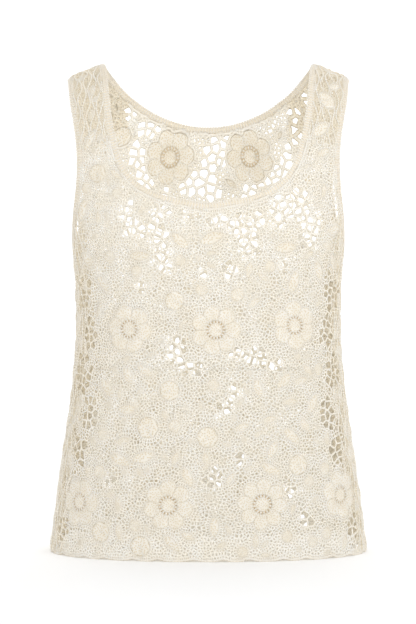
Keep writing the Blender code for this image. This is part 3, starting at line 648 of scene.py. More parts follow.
def from_shoulder(route, sign):
    """One panel's share of an edge that runs front to back, from the shoulder seam outwards."""
    start = (np.interp(sign * SEAM_GAP / 2, route[:, 1], route[:, 0]), SEAM_GAP / 2)
    part = route[route[:, 1] * sign > EDGE_CLEAR] * np.array([1.0, sign])
    return np.concatenate([[start], part[::-1] if sign < 0 else part])


def panel_outline(surface, side, neck, armhole):
    """The edge of one panel as a closed loop of (across, down), with every down positive."""
    sign = -1.0 if side == "front" else 1.0
    level = surface.hem_level()
    neck_part = from_shoulder(neck[: len(neck) // 2 + 1], sign)[::-1]
    armhole_part = from_shoulder(armhole, sign)
    side_line = surface.reach_at(side, armhole_part[:, 1]) - SEAM_GAP / 2
    armhole_part = armhole_part[armhole_part[:, 0] < side_line - EDGE_CLEAR]
    seam_top = float(-armhole[0, 1])
    seam = np.linspace(seam_top, level, int((level - seam_top) / SEAM_STATION))[:-1]
    seam_part = np.stack([surface.reach_at(side, seam) - SEAM_GAP / 2, seam], axis=1)
    right = np.concatenate([neck_part, armhole_part, seam_part])
    left = right[:0:-1] * np.array([-1.0, 1.0])
    return np.concatenate([right, hem_line(surface, side, level), left])


def distance_to_loop(points, loop):
    """Distance from each point to a closed polygon's edge."""
    start = loop[None, :, :]
    run = np.roll(loop, -1, axis=0)[None, :, :] - start
    offset = points[:, None, :] - start
    share = np.clip(np.sum(offset * run, axis=2) / np.sum(run * run, axis=2), 0.0, 1.0)
    return np.linalg.norm(offset - share[:, :, None] * run, axis=2).min(axis=1)


def inside_loop(points, loop):
    """Which points lie inside a closed polygon."""
    x, y = points[:, 0, None], points[:, 1, None]
    x0, y0 = loop[None, :, 0], loop[None, :, 1]
    x1, y1 = np.roll(x0, -1, axis=1), np.roll(y0, -1, axis=1)
    rises = (y0 > y) != (y1 > y)
    meets = x < (x1 - x0) * (y - y0) / np.where(y1 == y0, 1.0, y1 - y0) + x0
    return (rises & meets).sum(axis=1) % 2 == 1


def scatter(low, high, spacing, keep_out, seed):
    """Scattered places in a rectangle, none nearer than `spacing`, and none in a keep-out disc."""
    draw = random.Random(seed)
    cell = spacing / math.sqrt(2)
    taken = {}
    places = []
    tries = int(SCATTER_TRIES * (high[0] - low[0]) * (high[1] - low[1]) / spacing**2)
    for _ in range(tries):
        x = draw.uniform(low[0], high[0])
        y = draw.uniform(low[1], high[1])
        if any(math.hypot(x - cx, y - cy) < radius for cx, cy, radius in keep_out):
            continue
        column, row = int(x // cell), int(y // cell)
        near = (taken.get((column + i, row + j)) for i in range(-2, 3) for j in range(-2, 3))
        if any(other and math.hypot(x - other[0], y - other[1]) < spacing for other in near):
            continue
        taken[(column, row)] = (x, y)
        places.append((x, y))
    return places


def ring(centre, radius, spacing, turn=0.0):
    """Evenly spaced places on a circle."""
    count = max(FEWEST_ROUND, int(round(2 * math.pi * radius / spacing)))
    angles = (turn + 2 * math.pi * i / count for i in range(count))
    return [(centre[0] + radius * math.cos(a), centre[1] + radius * math.sin(a)) for a in angles]


def cells_around(sites):
    """The cell of places nearer to each site than to any other, as convex polygons."""
    verts, _, faces, origins, _, _ = delaunay_2d_cdt([tuple(site) for site in sites], [], [], 0, CELL_SNAP)
    verts = np.array([(v.x, v.y) for v in verts])
    faces = np.array(faces)
    centres = circumcentres(verts, faces)
    touching = [[] for _ in verts]
    for index, face in enumerate(faces):
        for corner in face:
            touching[corner].append(index)
    cells = {}
    for vertex, near in enumerate(touching):
        offsets = centres[near] - verts[vertex]
        order = np.argsort(np.arctan2(offsets[:, 1], offsets[:, 0]))
        for origin in origins[vertex]:
            cells[origin] = centres[near][order]
    return cells


def clip(polygon, point, inward):
    """The part of a convex polygon on the inner side of a line."""
    depth = (polygon - point) @ inward
    kept = []
    for i in range(len(polygon)):
        j = (i + 1) % len(polygon)
        if depth[i] >= 0.0:
            kept.append(polygon[i])
        if depth[i] * depth[j] < 0.0:
            kept.append(polygon[i] + (polygon[j] - polygon[i]) * depth[i] / (depth[i] - depth[j]))
    return np.array(kept)


def shrink(polygon, margin):
    """A convex polygon moved in by `margin` on every side, anticlockwise."""
    shrunk = polygon
    for i in range(len(polygon)):
        run = polygon[(i + 1) % len(polygon)] - polygon[i]
        length = np.linalg.norm(run)
        if length < SHORTEST_RUN:
            continue
        inward = np.array([-run[1], run[0]]) / length
        shrunk = clip(shrunk, polygon[i] + inward * margin, inward)
        if len(shrunk) < 3:
            return None
    return shrunk


def drop_short_sides(polygon):
    """Merge corners that are closer than the shortest side worth cutting."""
    corners = [polygon[0]]
    for corner in polygon[1:]:
        if np.linalg.norm(corner - corners[-1]) >= SHORTEST_SIDE:
            corners.append(corner)
    while len(corners) > 3 and np.linalg.norm(corners[0] - corners[-1]) < SHORTEST_SIDE:
        corners.pop()
    return np.array(corners)


def narrowest_way(polygon):
    """The narrowest way across a convex polygon."""
    run = np.roll(polygon, -1, axis=0) - polygon
    across = np.stack([-run[:, 1], run[:, 0]], axis=1) / np.linalg.norm(run, axis=1, keepdims=True)
    spans = polygon @ across.T
    return float((spans.max(axis=0) - spans.min(axis=0)).min())


def seen_through():
    """The front's openings as they fall on the back, in line with the camera."""
    return tuple(
        Opening(opening.x * SIGHT_SHARE, SIGHT_DROP + (opening.drop - SIGHT_DROP) * SIGHT_SHARE,
                opening.half_width * SIGHT_MARGIN, opening.half_height * SIGHT_MARGIN)
        for opening in FRONT_OPENINGS if opening.drop > SIGHT_TOP
    )


def laid_openings(surface, side):
    """The open stretches of one panel as ellipses on the cloth: centre and half sizes."""
    table, both_sides = OPENINGS[side]
    table += both_sides + tuple(opening._replace(x=-opening.x) for opening in both_sides)
    if side == "back":
        table += seen_through()
    laid = []
    for opening in table:
        low, _ = surface.cloth_place(side, opening.x - opening.half_width, opening.drop)
        high, _ = surface.cloth_place(side, opening.x + opening.half_width, opening.drop)
        _, down = surface.cloth_place(side, opening.x, opening.drop)
        laid.append(((low + high) / 2, down, abs(high - low) / 2, opening.half_height))
    return laid


def lace_gaps(surface, side, outline):
    """The widest gaps of one panel's lace, as convex polygons on the cloth."""
    flowers = FLOWERS[side]
    spacing = NET_SPACING[side]
    centres = [surface.cloth_place(side, flower.x, flower.drop) for flower in flowers]
    sites = []
    keep_out = []
    for flower, centre in zip(flowers, centres):
        sites += ring(centre, flower.radius - MOTIF_MARGIN, spacing * RING_SPACING[0])
        keep_out.append((*centre, flower.radius + MOTIF_MARGIN * FLOWER_CLEARANCE))
    blocked = len(sites)
    for flower, centre in zip(flowers, centres):
        sites += ring(centre, flower.radius + MOTIF_MARGIN, spacing * RING_SPACING[1])
    low = outline.min(axis=0) - 2 * spacing
    high = outline.max(axis=0) + 2 * spacing
    sites += scatter(low, high, spacing, keep_out, NET_SEED)
    cells = cells_around(sites)
    openings = laid_openings(surface, side)
    gaps = []
    for index in range(blocked, len(sites)):
        x, y = sites[index]
        if all(((x - cx) / rx) ** 2 + ((y - cy) / ry) ** 2 >= 1.0 for cx, cy, rx, ry in openings):
            continue
        gap = shrink(cells[index], NET_BAR / 2)
        if gap is not None:
            gap = clip_to_panel(gap, outline, spacing)
        if gap is None or len(gap) < 3:
            continue
        gap = drop_short_sides(gap)
        if len(gap) >= 4 and narrowest_way(gap) >= SMALLEST_OPEN_GAP:
            gaps.append(gap)
    return gaps


def clip_to_panel(gap, outline, spacing):
    """Keep a gap clear of the panel's edge, or give None where it lies across it."""
    centre = gap.mean(axis=0)[None, :]
    if not inside_loop(centre, outline)[0] or distance_to_loop(centre, outline)[0] < EDGE_MARGIN:
        return None
    following = np.roll(outline, -1, axis=0)
    for start, end in zip(outline, following):
        middle = (start + end) / 2
        if np.linalg.norm(middle - centre[0]) > 2 * spacing:
            continue
        run = end - start
        inward = np.array([-run[1], run[0]]) / np.linalg.norm(run)
        if (centre[0] - middle) @ inward < 0.0:
            inward = -inward
        gap = clip(gap, start + inward * EDGE_MARGIN, inward)
        if len(gap) < 3:
            return None
    return gap


def resample(loop, spacing):
    """A closed polygon resampled to evenly spaced points, anticlockwise."""
    following = np.roll(loop, -1, axis=0)
    if np.sum(loop[:, 0] * following[:, 1] - loop[:, 1] * following[:, 0]) < 0.0:
        loop = loop[::-1]
    closed = closed_path(loop)
    lengths = lengths_along(closed)
    count = max(FEWEST_CLOSED, int(round(lengths[-1] / spacing)))
    return places_at(closed, lengths, np.arange(count) * lengths[-1] / count)


def outward(loop):
    """Unit normals that point out of an anticlockwise polygon, one for each point."""
    run = np.roll(loop, -1, axis=0) - np.roll(loop, 1, axis=0)
    return np.stack([run[:, 1], -run[:, 0]], axis=1) / np.linalg.norm(run, axis=1, keepdims=True)


class HoleSites:
    """Places of the net's holes. Sites with the same label share one stretch without bars."""

    def __init__(self, spacing):
        self.cell = spacing
        self.points = []
        self.labels = []
        self.taken = {}

    def _key(self, point):
        """The cell of the search grid that a point lies in."""
        return int(point[0] // self.cell), int(point[1] // self.cell)

    def add(self, points, label=None):
        """Add sites under one label, or each under its own."""
        for point in points:
            self.points.append((float(point[0]), float(point[1])))
            self.labels.append(LOOSE_LABEL + len(self.points) if label is None else label)
            self.taken.setdefault(self._key(point), []).append(self.points[-1])

    def add_clear(self, points, clearance):
        """Add the sites that keep their distance from all that came before."""
        for point in points:
            column, row = self._key(point)
            near = (other for i in (-1, 0, 1) for j in (-1, 0, 1)
                    for other in self.taken.get((column + i, row + j), ()))
            if all(math.hypot(point[0] - x, point[1] - y) >= clearance for x, y in near):
                self.add([point])


def gap_sides(gap):
    """Sites inside a convex gap, and partners outside, so that straight bars run between."""
    core = shrink(gap, GAP_INNER)
    if core is None or len(core) < 3:
        return [gap.mean(axis=0)], []
    inner = list(core)
    outer = []
    for start, end in zip(core, np.roll(core, -1, axis=0)):
        run = end - start
        length = np.linalg.norm(run)
        if length < SHORTEST_CORE:
            continue
        away = np.array([run[1], -run[0]]) / length
        count = max(1, int(round(length / PAIR_SPACING)))
        for k in range(count):
            place = start + run * (k + 0.5) / count
            inner.append(place)
            outer.append(place + away * (GAP_INNER + GAP_OUTER))
    return inner, outer


def circumcentres(flat, faces):
    """Centres of the circles through each triangle's corners."""
    a, b, c = flat[faces[:, 0]], flat[faces[:, 1]], flat[faces[:, 2]]
    ab, ac = b - a, c - a
    twice = 2 * (ab[:, 0] * ac[:, 1] - ab[:, 1] * ac[:, 0])
    ab2, ac2 = np.sum(ab * ab, axis=1), np.sum(ac * ac, axis=1)
    offset = np.stack([ac[:, 1] * ab2 - ab[:, 1] * ac2, ab[:, 0] * ac2 - ac[:, 0] * ab2], axis=1)
    return a + offset / twice[:, None]


def merge_near(places, start, end):
    """Join the crossings that a very short bar links. Gives each crossing its group."""
    group = list(range(len(places)))
    middle = places.copy()
    weight = np.ones(len(places))

    def root(i):
        while group[i] != i:
            group[i] = group[group[i]]
            i = group[i]
        return i

    length = np.linalg.norm(places[start] - places[end], axis=1)
    for index in np.argsort(length, kind="stable"):
        if length[index] > SHORTEST_BAR:
            break
        a, b = root(start[index]), root(end[index])
        if a != b and np.linalg.norm(middle[a] - middle[b]) < MERGE_REACH * SHORTEST_BAR:
            middle[a] = (middle[a] * weight[a] + middle[b] * weight[b]) / (weight[a] + weight[b])
            weight[a] += weight[b]
            group[b] = a
    roots = np.array([root(i) for i in range(len(places))])
    return roots, middle


class Net:
    """Crossings and bars of a net: the borders between sites whose labels differ."""

    def __init__(self, points, labels):
        verts, _, faces, origins, _, _ = delaunay_2d_cdt(points, [], [], 0, NET_SNAP)
        flat = np.array([(v.x, v.y) for v in verts])
        label = np.array([labels[origin[0]] for origin in origins])
        faces = np.array(faces)
        a, b, c = flat[faces[:, 0]], flat[faces[:, 1]], flat[faces[:, 2]]
        turned = (b[:, 0] - a[:, 0]) * (c[:, 1] - a[:, 1]) < (b[:, 1] - a[:, 1]) * (c[:, 0] - a[:, 0])
        faces[turned] = faces[turned][:, ::-1]
        centres = circumcentres(flat, faces)
        sides = np.concatenate([faces[:, [0, 1]], faces[:, [1, 2]], faces[:, [2, 0]]])
        owner = np.tile(np.arange(len(faces)), 3)
        key = sides.min(axis=1) * len(flat) + sides.max(axis=1)
        order = np.argsort(key, kind="stable")
        same = key[order][1:] == key[order][:-1]
        one, two = order[:-1][same], order[1:][same]
        parted = label[sides[one, 0]] != label[sides[one, 1]]
        one, two = one[parted], two[parted]
        roots, middle = merge_near(centres, owner[one], owner[two])
        start, end = roots[owner[one]], roots[owner[two]]
        left, right = sides[one, 1], sides[one, 0]
        pair = np.minimum(start, end) * len(faces) + np.maximum(start, end)
        _, single = np.unique(pair, return_index=True)
        real = single[start[single] != end[single]]
        start, end, left, right = start[real], end[real], left[real], right[real]
        while True:
            uses = np.bincount(np.concatenate([start, end]), minlength=len(faces))
            fast = (uses[start] > 1) & (uses[end] > 1)
            if fast.all():
                break
            start, end, left, right = start[fast], end[fast], left[fast], right[fast]
        used, numbers = np.unique(np.concatenate([start, end]), return_inverse=True)
        self.places = middle[used]
        self.source = numbers
        self.target = np.roll(numbers, len(start))
        self.cell = np.concatenate([left, right])
        self.cell_label = label
        self._sort()

    def _sort(self):
        """Order the bars round each crossing, anticlockwise."""
        run = self.places[self.target] - self.places[self.source]
        self.length = np.linalg.norm(run, axis=1)
        self.angle = np.arctan2(run[:, 1], run[:, 0])
        order = np.lexsort((self.angle, self.source))
        sorted_source = self.source[order]
        count = np.arange(len(order))
        first = np.searchsorted(sorted_source, sorted_source, side="left")
        last = np.searchsorted(sorted_source, sorted_source, side="right") - 1
        self.following = np.empty(len(order), int)
        self.preceding = np.empty(len(order), int)
        self.following[order] = order[np.where(count == last, first, count + 1)]
        self.preceding[order] = order[np.where(count == first, last, count - 1)]
        half = len(order) // 2
        self.twin = np.roll(np.arange(len(order)), half)

    def corners(self, width, kept):
        """Where the bars' edges meet in each wedge, with a share of each small hole kept open."""
        wedge = (self.angle[self.following] - self.angle) % (2 * math.pi)
        wedge[wedge == 0.0] = 2 * math.pi
        reach = width[self.source] / np.maximum(np.sin(wedge / 2), 1 / BAR_REACH_CAP)
        reach = np.where(wedge > math.pi, np.minimum(reach, BLUNT_REACH * width[self.source]), reach)
        heading = self.angle + wedge / 2
        here = self.places[self.source]
        placed = here + reach[:, None] * np.stack([np.cos(heading), np.sin(heading)], axis=1)
        cells = len(self.cell_label)
        uses = np.maximum(np.bincount(self.cell, minlength=cells), 1)
        middle = np.stack([np.bincount(self.cell, weights=here[:, axis], minlength=cells) / uses
                           for axis in range(2)], axis=1)[self.cell]
        inward = middle - here
        taken = 1.0 - kept[self.source]
        alone = self.cell_label[self.cell] >= LOOSE_LABEL
        tight = alone & (reach > taken * np.linalg.norm(inward, axis=1))
        return np.where(tight[:, None], here + inward * taken[:, None], placed)


Motif = namedtuple("Motif", "kind across down size turn")


def flower_edge(centre, flower):
    """The scalloped outer edge of one flower on the cloth."""
    step = 2 * math.pi / flower.petals
    start = math.radians(flower.turn)
    loop = []
    for i in range(flower.petals * PETAL_STEPS):
        share = i / PETAL_STEPS
        off_petal = abs((share + 0.5) % 1.0 - 0.5) * 2
        radius = flower.radius * (1.0 - PETAL_NOTCH * off_petal**PETAL_ROUND)
        angle = start + share * step
        loop.append((centre[0] + radius * math.cos(angle), centre[1] + radius * math.sin(angle)))
    return np.array(loop)


def leaf_edge(motif, grow=0.0):
    """The outline of a leaf: pointed at both ends, with size as (length, width)."""
    length, width = motif.size
    length, width = length + 2 * grow, width + 2 * grow
    share = np.linspace(0.0, 1.0, LEAF_STEPS)
    half = width / 2 * np.sin(math.pi * share) ** LEAF_FULLNESS
    along = (share - 0.5) * length
    loop = np.concatenate([np.stack([along, half], axis=1), np.stack([along, -half], axis=1)[-2:0:-1]])
    c, s = math.cos(motif.turn), math.sin(motif.turn)
    return loop @ np.array([[c, s], [-s, c]]) + (motif.across, motif.down)


def rosette_edge(motif, grow=0.0):
    """The outline of a small rosette or button, nearly round."""
    angle = np.linspace(0.0, 2 * math.pi, ROUND_STEPS)[:-1]
    radius = motif.size[0] / 2 + grow
    return np.stack([motif.across + radius * np.cos(angle), motif.down + radius * np.sin(angle)], axis=1)


EDGES = {"leaf": leaf_edge, "rosette": rosette_edge, "button": rosette_edge}


def thrown_motifs(side, outline, gaps, flower_places):
    """Leaves, rosettes and buttons laid at random wherever the lace is still plain."""
    draw = random.Random(MOTIF_SEEDS[side])
    taken = np.concatenate([resample(gap, TAKEN_SPACING) for gap in gaps] + [outline])
    low, high = outline.min(axis=0), outline.max(axis=0)
    motifs = []
    for kind, length, width, most, tries in THROWS:
        laid = 0
        for _ in range(tries):
            size = draw.uniform(*MOTIF_SIZES)
            motif = Motif(kind, draw.uniform(low[0], high[0]), draw.uniform(low[1], high[1]),
                          (length * size, width * size), draw.uniform(0.0, math.pi))
            if laid >= most:
                continue
            place = np.array([[motif.across, motif.down]])
            edge = EDGES[kind](motif)
            if any(math.hypot(motif.across - x, motif.down - y) < radius + width / 2 + MOTIF_ROOM
                   or np.hypot(edge[:, 0] - x, edge[:, 1] - y).min() < radius + MOTIF_ROOM
                   for x, y, radius in flower_places):
                continue
            apart = np.hypot(edge[:, None, 0] - taken[None, :, 0], edge[:, None, 1] - taken[None, :, 1])
            if apart.min() < MOTIF_ROOM or not inside_loop(np.concatenate([place, edge]), outline).all():
                continue
            motifs.append(motif)
            laid += 1
            taken = np.concatenate([taken, resample(edge, TAKEN_SPACING), place])
    return motifs


class Panel:
    """Everything that is worked out once for the front or the back."""

    def __init__(self, side):
        cut = top_cut()
        self.side = side
        self.sign = -1.0 if side == "front" else 1.0
        self.surface = cut.surface
        self.outline = panel_outline(cut.surface, side, cut.panel_neck, cut.panel_armhole)
        self.gaps = lace_gaps(cut.surface, side, self.outline)
        self.flowers = FLOWERS[side]
        self.flower_centres = [cut.surface.cloth_place(side, f.x, f.drop) for f in self.flowers]
        flower_places = [(*c, f.radius) for c, f in zip(self.flower_centres, self.flowers)]
        self.motifs = thrown_motifs(side, self.outline, self.gaps, flower_places)
        self.flower_edges = [flower_edge(c, f) for c, f in zip(self.flower_centres, self.flowers)]
        self.covered = [*self.gaps, *self.flower_edges, *(EDGES[m.kind](m) for m in self.motifs)]

    def lay(self, flat):
        """Points given as (across, down, height) rows, laid on the worn surface and its gentle waves."""
        waves = sum(size * np.sin(flat[:, 0] * over + flat[:, 1] * down) for size, over, down in WAVES)
        return self.surface.place(flat[:, 0], flat[:, 1] * self.sign, flat[:, 2] + waves)

    def long_share(self, places):
        """How far each place lies in the zone of long stitches: down the sides and on the straps."""
        off_side = self.surface.side_line(places[:, 1] * self.sign) - np.abs(places[:, 0])
        strap = np.where(np.abs(places[:, 0]) > STRAP_ZONE[0], STRAP_ZONE[1] - places[:, 1], 0.0)
        return np.clip(np.maximum(SIDE_ZONE - off_side, strap) / LONG_ZONE_FADE, 0.0, 1.0)

    def dense_at(self, places):
        """Where the lace is worked closely: along its edges, above the hem, and at the back's sides."""
        points = resample(self.outline, EDGE_SPACING)
        edge = KDTree(len(points))
        for index, point in enumerate(points):
            edge.insert((*point, 0.0), index)
        edge.balance()
        away = np.array([edge.find((*place, 0.0))[2] for place in places])
        close = (away < EDGE_DENSE) | (places[:, 1] > self.surface.hem_level() - HEM_DENSE)
        return close | (self.long_share(places) > 0.0) if self.side == "back" else close

    def sites(self, stitch):
        """The net's holes: wide gaps, room for the motifs, eyelets, and small holes between."""
        found = HoleSites(stitch)
        partners = []
        edge = resample(self.outline, PAIR_SPACING)
        found.add(edge + outward(edge) * EDGE_OUTER, label=0)
        partners += list(edge - outward(edge) * EDGE_INNER)
        for number, gap in enumerate(self.gaps, start=1):
            inner, outer = gap_sides(gap)
            found.add(inner, label=number)
            partners += outer
        for number, loop in enumerate(self.covered[len(self.gaps):], start=len(self.gaps) + 1):
            edge = resample(loop, PAIR_SPACING)
            found.add(edge - outward(edge) * MOTIF_INNER, label=number)
            partners += list(edge + outward(edge) * MOTIF_OUTER)
        fill = self._grid(stitch)
        for points, clearance in ((np.array(partners), PARTNER_CLEARANCE), (fill, FILL_CLEARANCE)):
            points = points[inside_loop(points, self.outline)]
            for loop in self.covered:
                points = points[~self._covers(points, loop)]
            found.add_clear(points, clearance * stitch)
        return found

    def _grid(self, stitch):
        """Places in offset rows, each wandered a little, and longer down the cloth near its sides."""
        places = []
        for long_ones, (wide, tall) in enumerate(((1.0, 1.0), LONG_STITCH[self.side])):
            draw = np.random.default_rng(NET_SEED)
            step = np.array([stitch * wide, stitch * ROW_SHARE * tall])
            low, high = self.outline.min(axis=0) - step, self.outline.max(axis=0) + step
            columns, rows = ((high - low) / step).astype(int)
            row, column = np.mgrid[0:rows, 0:columns]
            laid = low + np.stack([column + 0.5 * (row % 2), row], axis=-1) * step
            wander = draw.uniform(-STITCH_WANDER, STITCH_WANDER, laid.shape) * stitch
            laid = (laid + wander).reshape(-1, 2)
            places.append(laid[(self.long_share(laid) > 0.0) == bool(long_ones)])
        return np.concatenate(places)

    @staticmethod
    def _covers(points, loop):
        """Which points a closed polygon covers."""
        low, high = loop.min(axis=0), loop.max(axis=0)
        near = np.all((points > low) & (points < high), axis=1)
        covered = np.zeros(len(points), bool)
        if near.any():
            covered[near] = inside_loop(points[near], loop)
        return covered


Cut = namedtuple("Cut", "surface neck armhole panel_neck panel_armhole")


@lru_cache
def top_cut():
    """The worn surface and the edges of the pieces on it, the same as the solids were cut to."""
    surface = WornSurface()
    neck = neck_route(surface)
    armhole = armhole_route(surface)
    panel_neck = inset_route(surface, neck, NECK_BAND_WIDTH + SEAM_GAP, NECK_INWARD)
    panel_armhole = inset_route(surface, armhole, ARMHOLE_BAND_WIDTH + SEAM_GAP, ARMHOLE_INWARD)
    return Cut(surface, neck, armhole, panel_neck, panel_armhole)


Thread = namedtuple("Thread", "stitch bar_width bar_height kept")


def placed(name, data):
    """A new object in the scene."""
    item = bpy.data.objects.new(name, data)
    bpy.context.scene.collection.objects.link(item)
    return item


def smooth_object(name, mesh, material):
    """A smooth mesh in one material, as an object in the scene."""
    mesh.materials.clear()
    mesh.materials.append(material)
    mesh.polygons.foreach_set("use_smooth", np.ones(len(mesh.polygons), bool))
    return placed(name, mesh)


def new_piece(name, mesh, material):
    """Put a finished mesh in the scene at the origin, riding on the body."""
    mesh.name = name
    piece = smooth_object(name, mesh, material)
    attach(piece, BODY)
    return piece


def mesh_of(name, verts, faces, coords):
    """A mesh from its vertices and faces, with thread coordinates for each corner of each face."""
    mesh = bpy.data.meshes.new(name)
    mesh.from_pydata([tuple(vert) for vert in verts], [], faces)
    mesh.uv_layers.new(name="thread").data.foreach_set("uv", np.array(coords).ravel())
    return mesh


def coordinates(mesh):
    """The places of a mesh's vertices, one row for each."""
    flat = np.empty(len(mesh.vertices) * 3)
    mesh.vertices.foreach_get("co", flat)
    return flat.reshape(-1, 3)


def net_heights(net, thread, dense):
    """Width and height of the bars at each crossing, with the wander of hand work."""
    draw = np.random.default_rng(NET_SEED)
    count = len(net.places)
    beside_gap = np.zeros(count, bool)
    open_side = net.cell_label[net.cell] < LOOSE_LABEL
    beside_gap[net.source[open_side]] = True
    width = thread.bar_width / 2 * draw.uniform(*BAR_WIDTHS, count) * np.where(beside_gap, BORDER_BAR, 1.0)
    width *= np.where(dense, DENSE_BAR, 1.0)
    rise = thread.bar_height / 2 * draw.uniform(*BAR_RISES, count) * np.where(beside_gap, BORDER_BAR, 1.0)
    lift = draw.uniform(-BAR_WANDER, BAR_WANDER, count)
    return width, rise, lift


def net_piece(panel, net, chosen, name, thread, material):
    """The bars that `chosen` marks, as one closed mesh with its ends capped."""
    dense = panel.dense_at(net.places)
    width, rise, lift = net_heights(net, thread, dense)
    under = panel.long_share(net.places)
    kept = np.where(under > 0.0, LONG_KEPT, thread.kept)
    corner = net.corners(width, np.where(dense, DENSE_KEPT, kept))
    count = len(net.places)
    places = np.concatenate([net.places, net.places, corner])
    heights = np.concatenate([lift + rise, lift - rise, lift[net.source]])
    verts = panel.lay(np.column_stack([places, heights]))
    e = np.nonzero(chosen)[0]
    a, b = net.source[e], net.target[e]
    left_a, left_b = 2 * count + e, 2 * count + net.preceding[net.twin[e]]
    top = np.stack([a, b, left_b, left_a], axis=1)
    below = np.stack([count + b, count + a, left_a, left_b], axis=1)
    after, before = net.following[e], net.preceding[e]
    ends = e[~chosen[after]]
    starts = e[~chosen[before]]
    caps = np.concatenate([
        np.stack([net.source[ends], 2 * count + ends, count + net.source[ends]], axis=1),
        np.stack([net.source[starts], count + net.source[starts],
                  2 * count + before[~chosen[before]]], axis=1),
    ])
    quads = np.concatenate([top, below])
    if panel.sign < 0.0:
        quads, caps = quads[:, ::-1], caps[:, ::-1]
    used, numbers = np.unique(np.concatenate([quads.ravel(), caps.ravel()]), return_inverse=True)
    corners = numbers.astype(np.int32)
    mesh = bpy.data.meshes.new(name)
    mesh.vertices.add(len(used))
    mesh.vertices.foreach_set("co", verts[used].ravel())
    mesh.loops.add(len(corners))
    mesh.loops.foreach_set("vertex_index", corners)
    sizes = np.concatenate([np.full(len(quads), 4), np.full(len(caps), 3)])
    mesh.polygons.add(len(sizes))
    mesh.polygons.foreach_set("loop_start", np.concatenate([[0], np.cumsum(sizes)[:-1]]).astype(np.int32))
    mesh.update(calc_edges=True)
    length = net.length[e] / MM
    # Thread coordinates run from 0.5 on each bar's crest to 0 or 1 at its sides, where the lace material
    # paints shade
    zero, half, one = np.zeros(len(e)), np.full(len(e), 0.5), np.ones(len(e))
    top_uv = np.stack([zero, half, length, half, length, one, zero, one], axis=1).reshape(-1, 4, 2)
    below_uv = np.stack([length, half, zero, half, zero, zero, length, zero], axis=1).reshape(-1, 4, 2)
    # Painted shade: bars in the zones of long stitches get their thread coordinates pushed past the edge, so
    # the material paints them darker
    shade = under[a] * np.random.default_rng(NET_SEED).uniform(*LONG_ZONE_SHADE_MIX, len(a))
    top_uv[:, :, 1] += shade[:, None]
    below_uv[:, :, 1] -= shade[:, None]
    uv = np.concatenate([top_uv, below_uv])
    if panel.sign < 0.0:
        uv = uv[:, ::-1]
    flat_uv = np.concatenate([uv.reshape(-1, 2), np.zeros((len(caps) * 3, 2))])
    mesh.uv_layers.new(name="thread").data.foreach_set("uv", flat_uv.ravel())
    return new_piece(name, mesh, material)


def repeat_tree():
    """A node tree that puts a unit on every point, turned and sized by the points' attributes."""
    tree = bpy.data.node_groups.new("unit on every point", "GeometryNodeTree")
    inputs = (("Points", "NodeSocketGeometry"), ("Unit", "NodeSocketObject"),
              ("Loose turn", "NodeSocketFloat"), ("Loose size", "NodeSocketFloat"),
              ("Thread", "NodeSocketMaterial"))
    for name, kind in inputs:
        tree.interface.new_socket(name, in_out="INPUT", socket_type=kind)
    tree.interface.new_socket("Piece", in_out="OUTPUT", socket_type="NodeSocketGeometry")

    def node(kind, **links):
        made = tree.nodes.new(kind)
        for socket, source in links.items():
            tree.links.new(source, made.inputs[socket.replace("_", " ")])
        return made

    def attribute(name, kind):
        made = node("GeometryNodeInputNamedAttribute")
        made.data_type = kind
        made.inputs["Name"].default_value = name
        return made

    def multiply_add(value, factor):
        made = node("ShaderNodeMath")
        made.operation = "MULTIPLY_ADD"
        tree.links.new(value, made.inputs[0])
        tree.links.new(factor, made.inputs[1])
        return made

    given = node("NodeGroupInput").outputs
    unit = node("GeometryNodeObjectInfo", Object=given["Unit"])
    turn = attribute("turn", "FLOAT")
    size = attribute("size", "FLOAT_VECTOR")
    chance = node("FunctionNodeRandomValue")
    chance.data_type = "FLOAT"
    chance.inputs[2].default_value = -1.0
    chance.inputs[3].default_value = 1.0
    chance.inputs["Seed"].default_value = COPY_SEED
    off_turn = multiply_add(chance.outputs[1], given["Loose turn"])
    tree.links.new(turn.outputs["Attribute"], off_turn.inputs[2])
    off_size = multiply_add(chance.outputs[1], given["Loose size"])
    off_size.inputs[2].default_value = 1.0
    heading = node("ShaderNodeCombineXYZ", Z=off_turn.outputs[0])
    rotation = node("FunctionNodeEulerToRotation", Euler=heading.outputs[0])
    scale = node("ShaderNodeVectorMath")
    scale.operation = "SCALE"
    tree.links.new(size.outputs["Attribute"], scale.inputs[0])
    tree.links.new(off_size.outputs[0], scale.inputs["Scale"])
    laid = node("GeometryNodeInstanceOnPoints", Points=given["Points"], Instance=unit.outputs["Geometry"],
                Rotation=rotation.outputs[0], Scale=scale.outputs[0])
    real = node("GeometryNodeRealizeInstances", Geometry=laid.outputs[0])
    dyed = node("GeometryNodeSetMaterial", Geometry=real.outputs[0], Material=given["Thread"])
    node("NodeGroupOutput", Piece=dyed.outputs[0])
    return tree


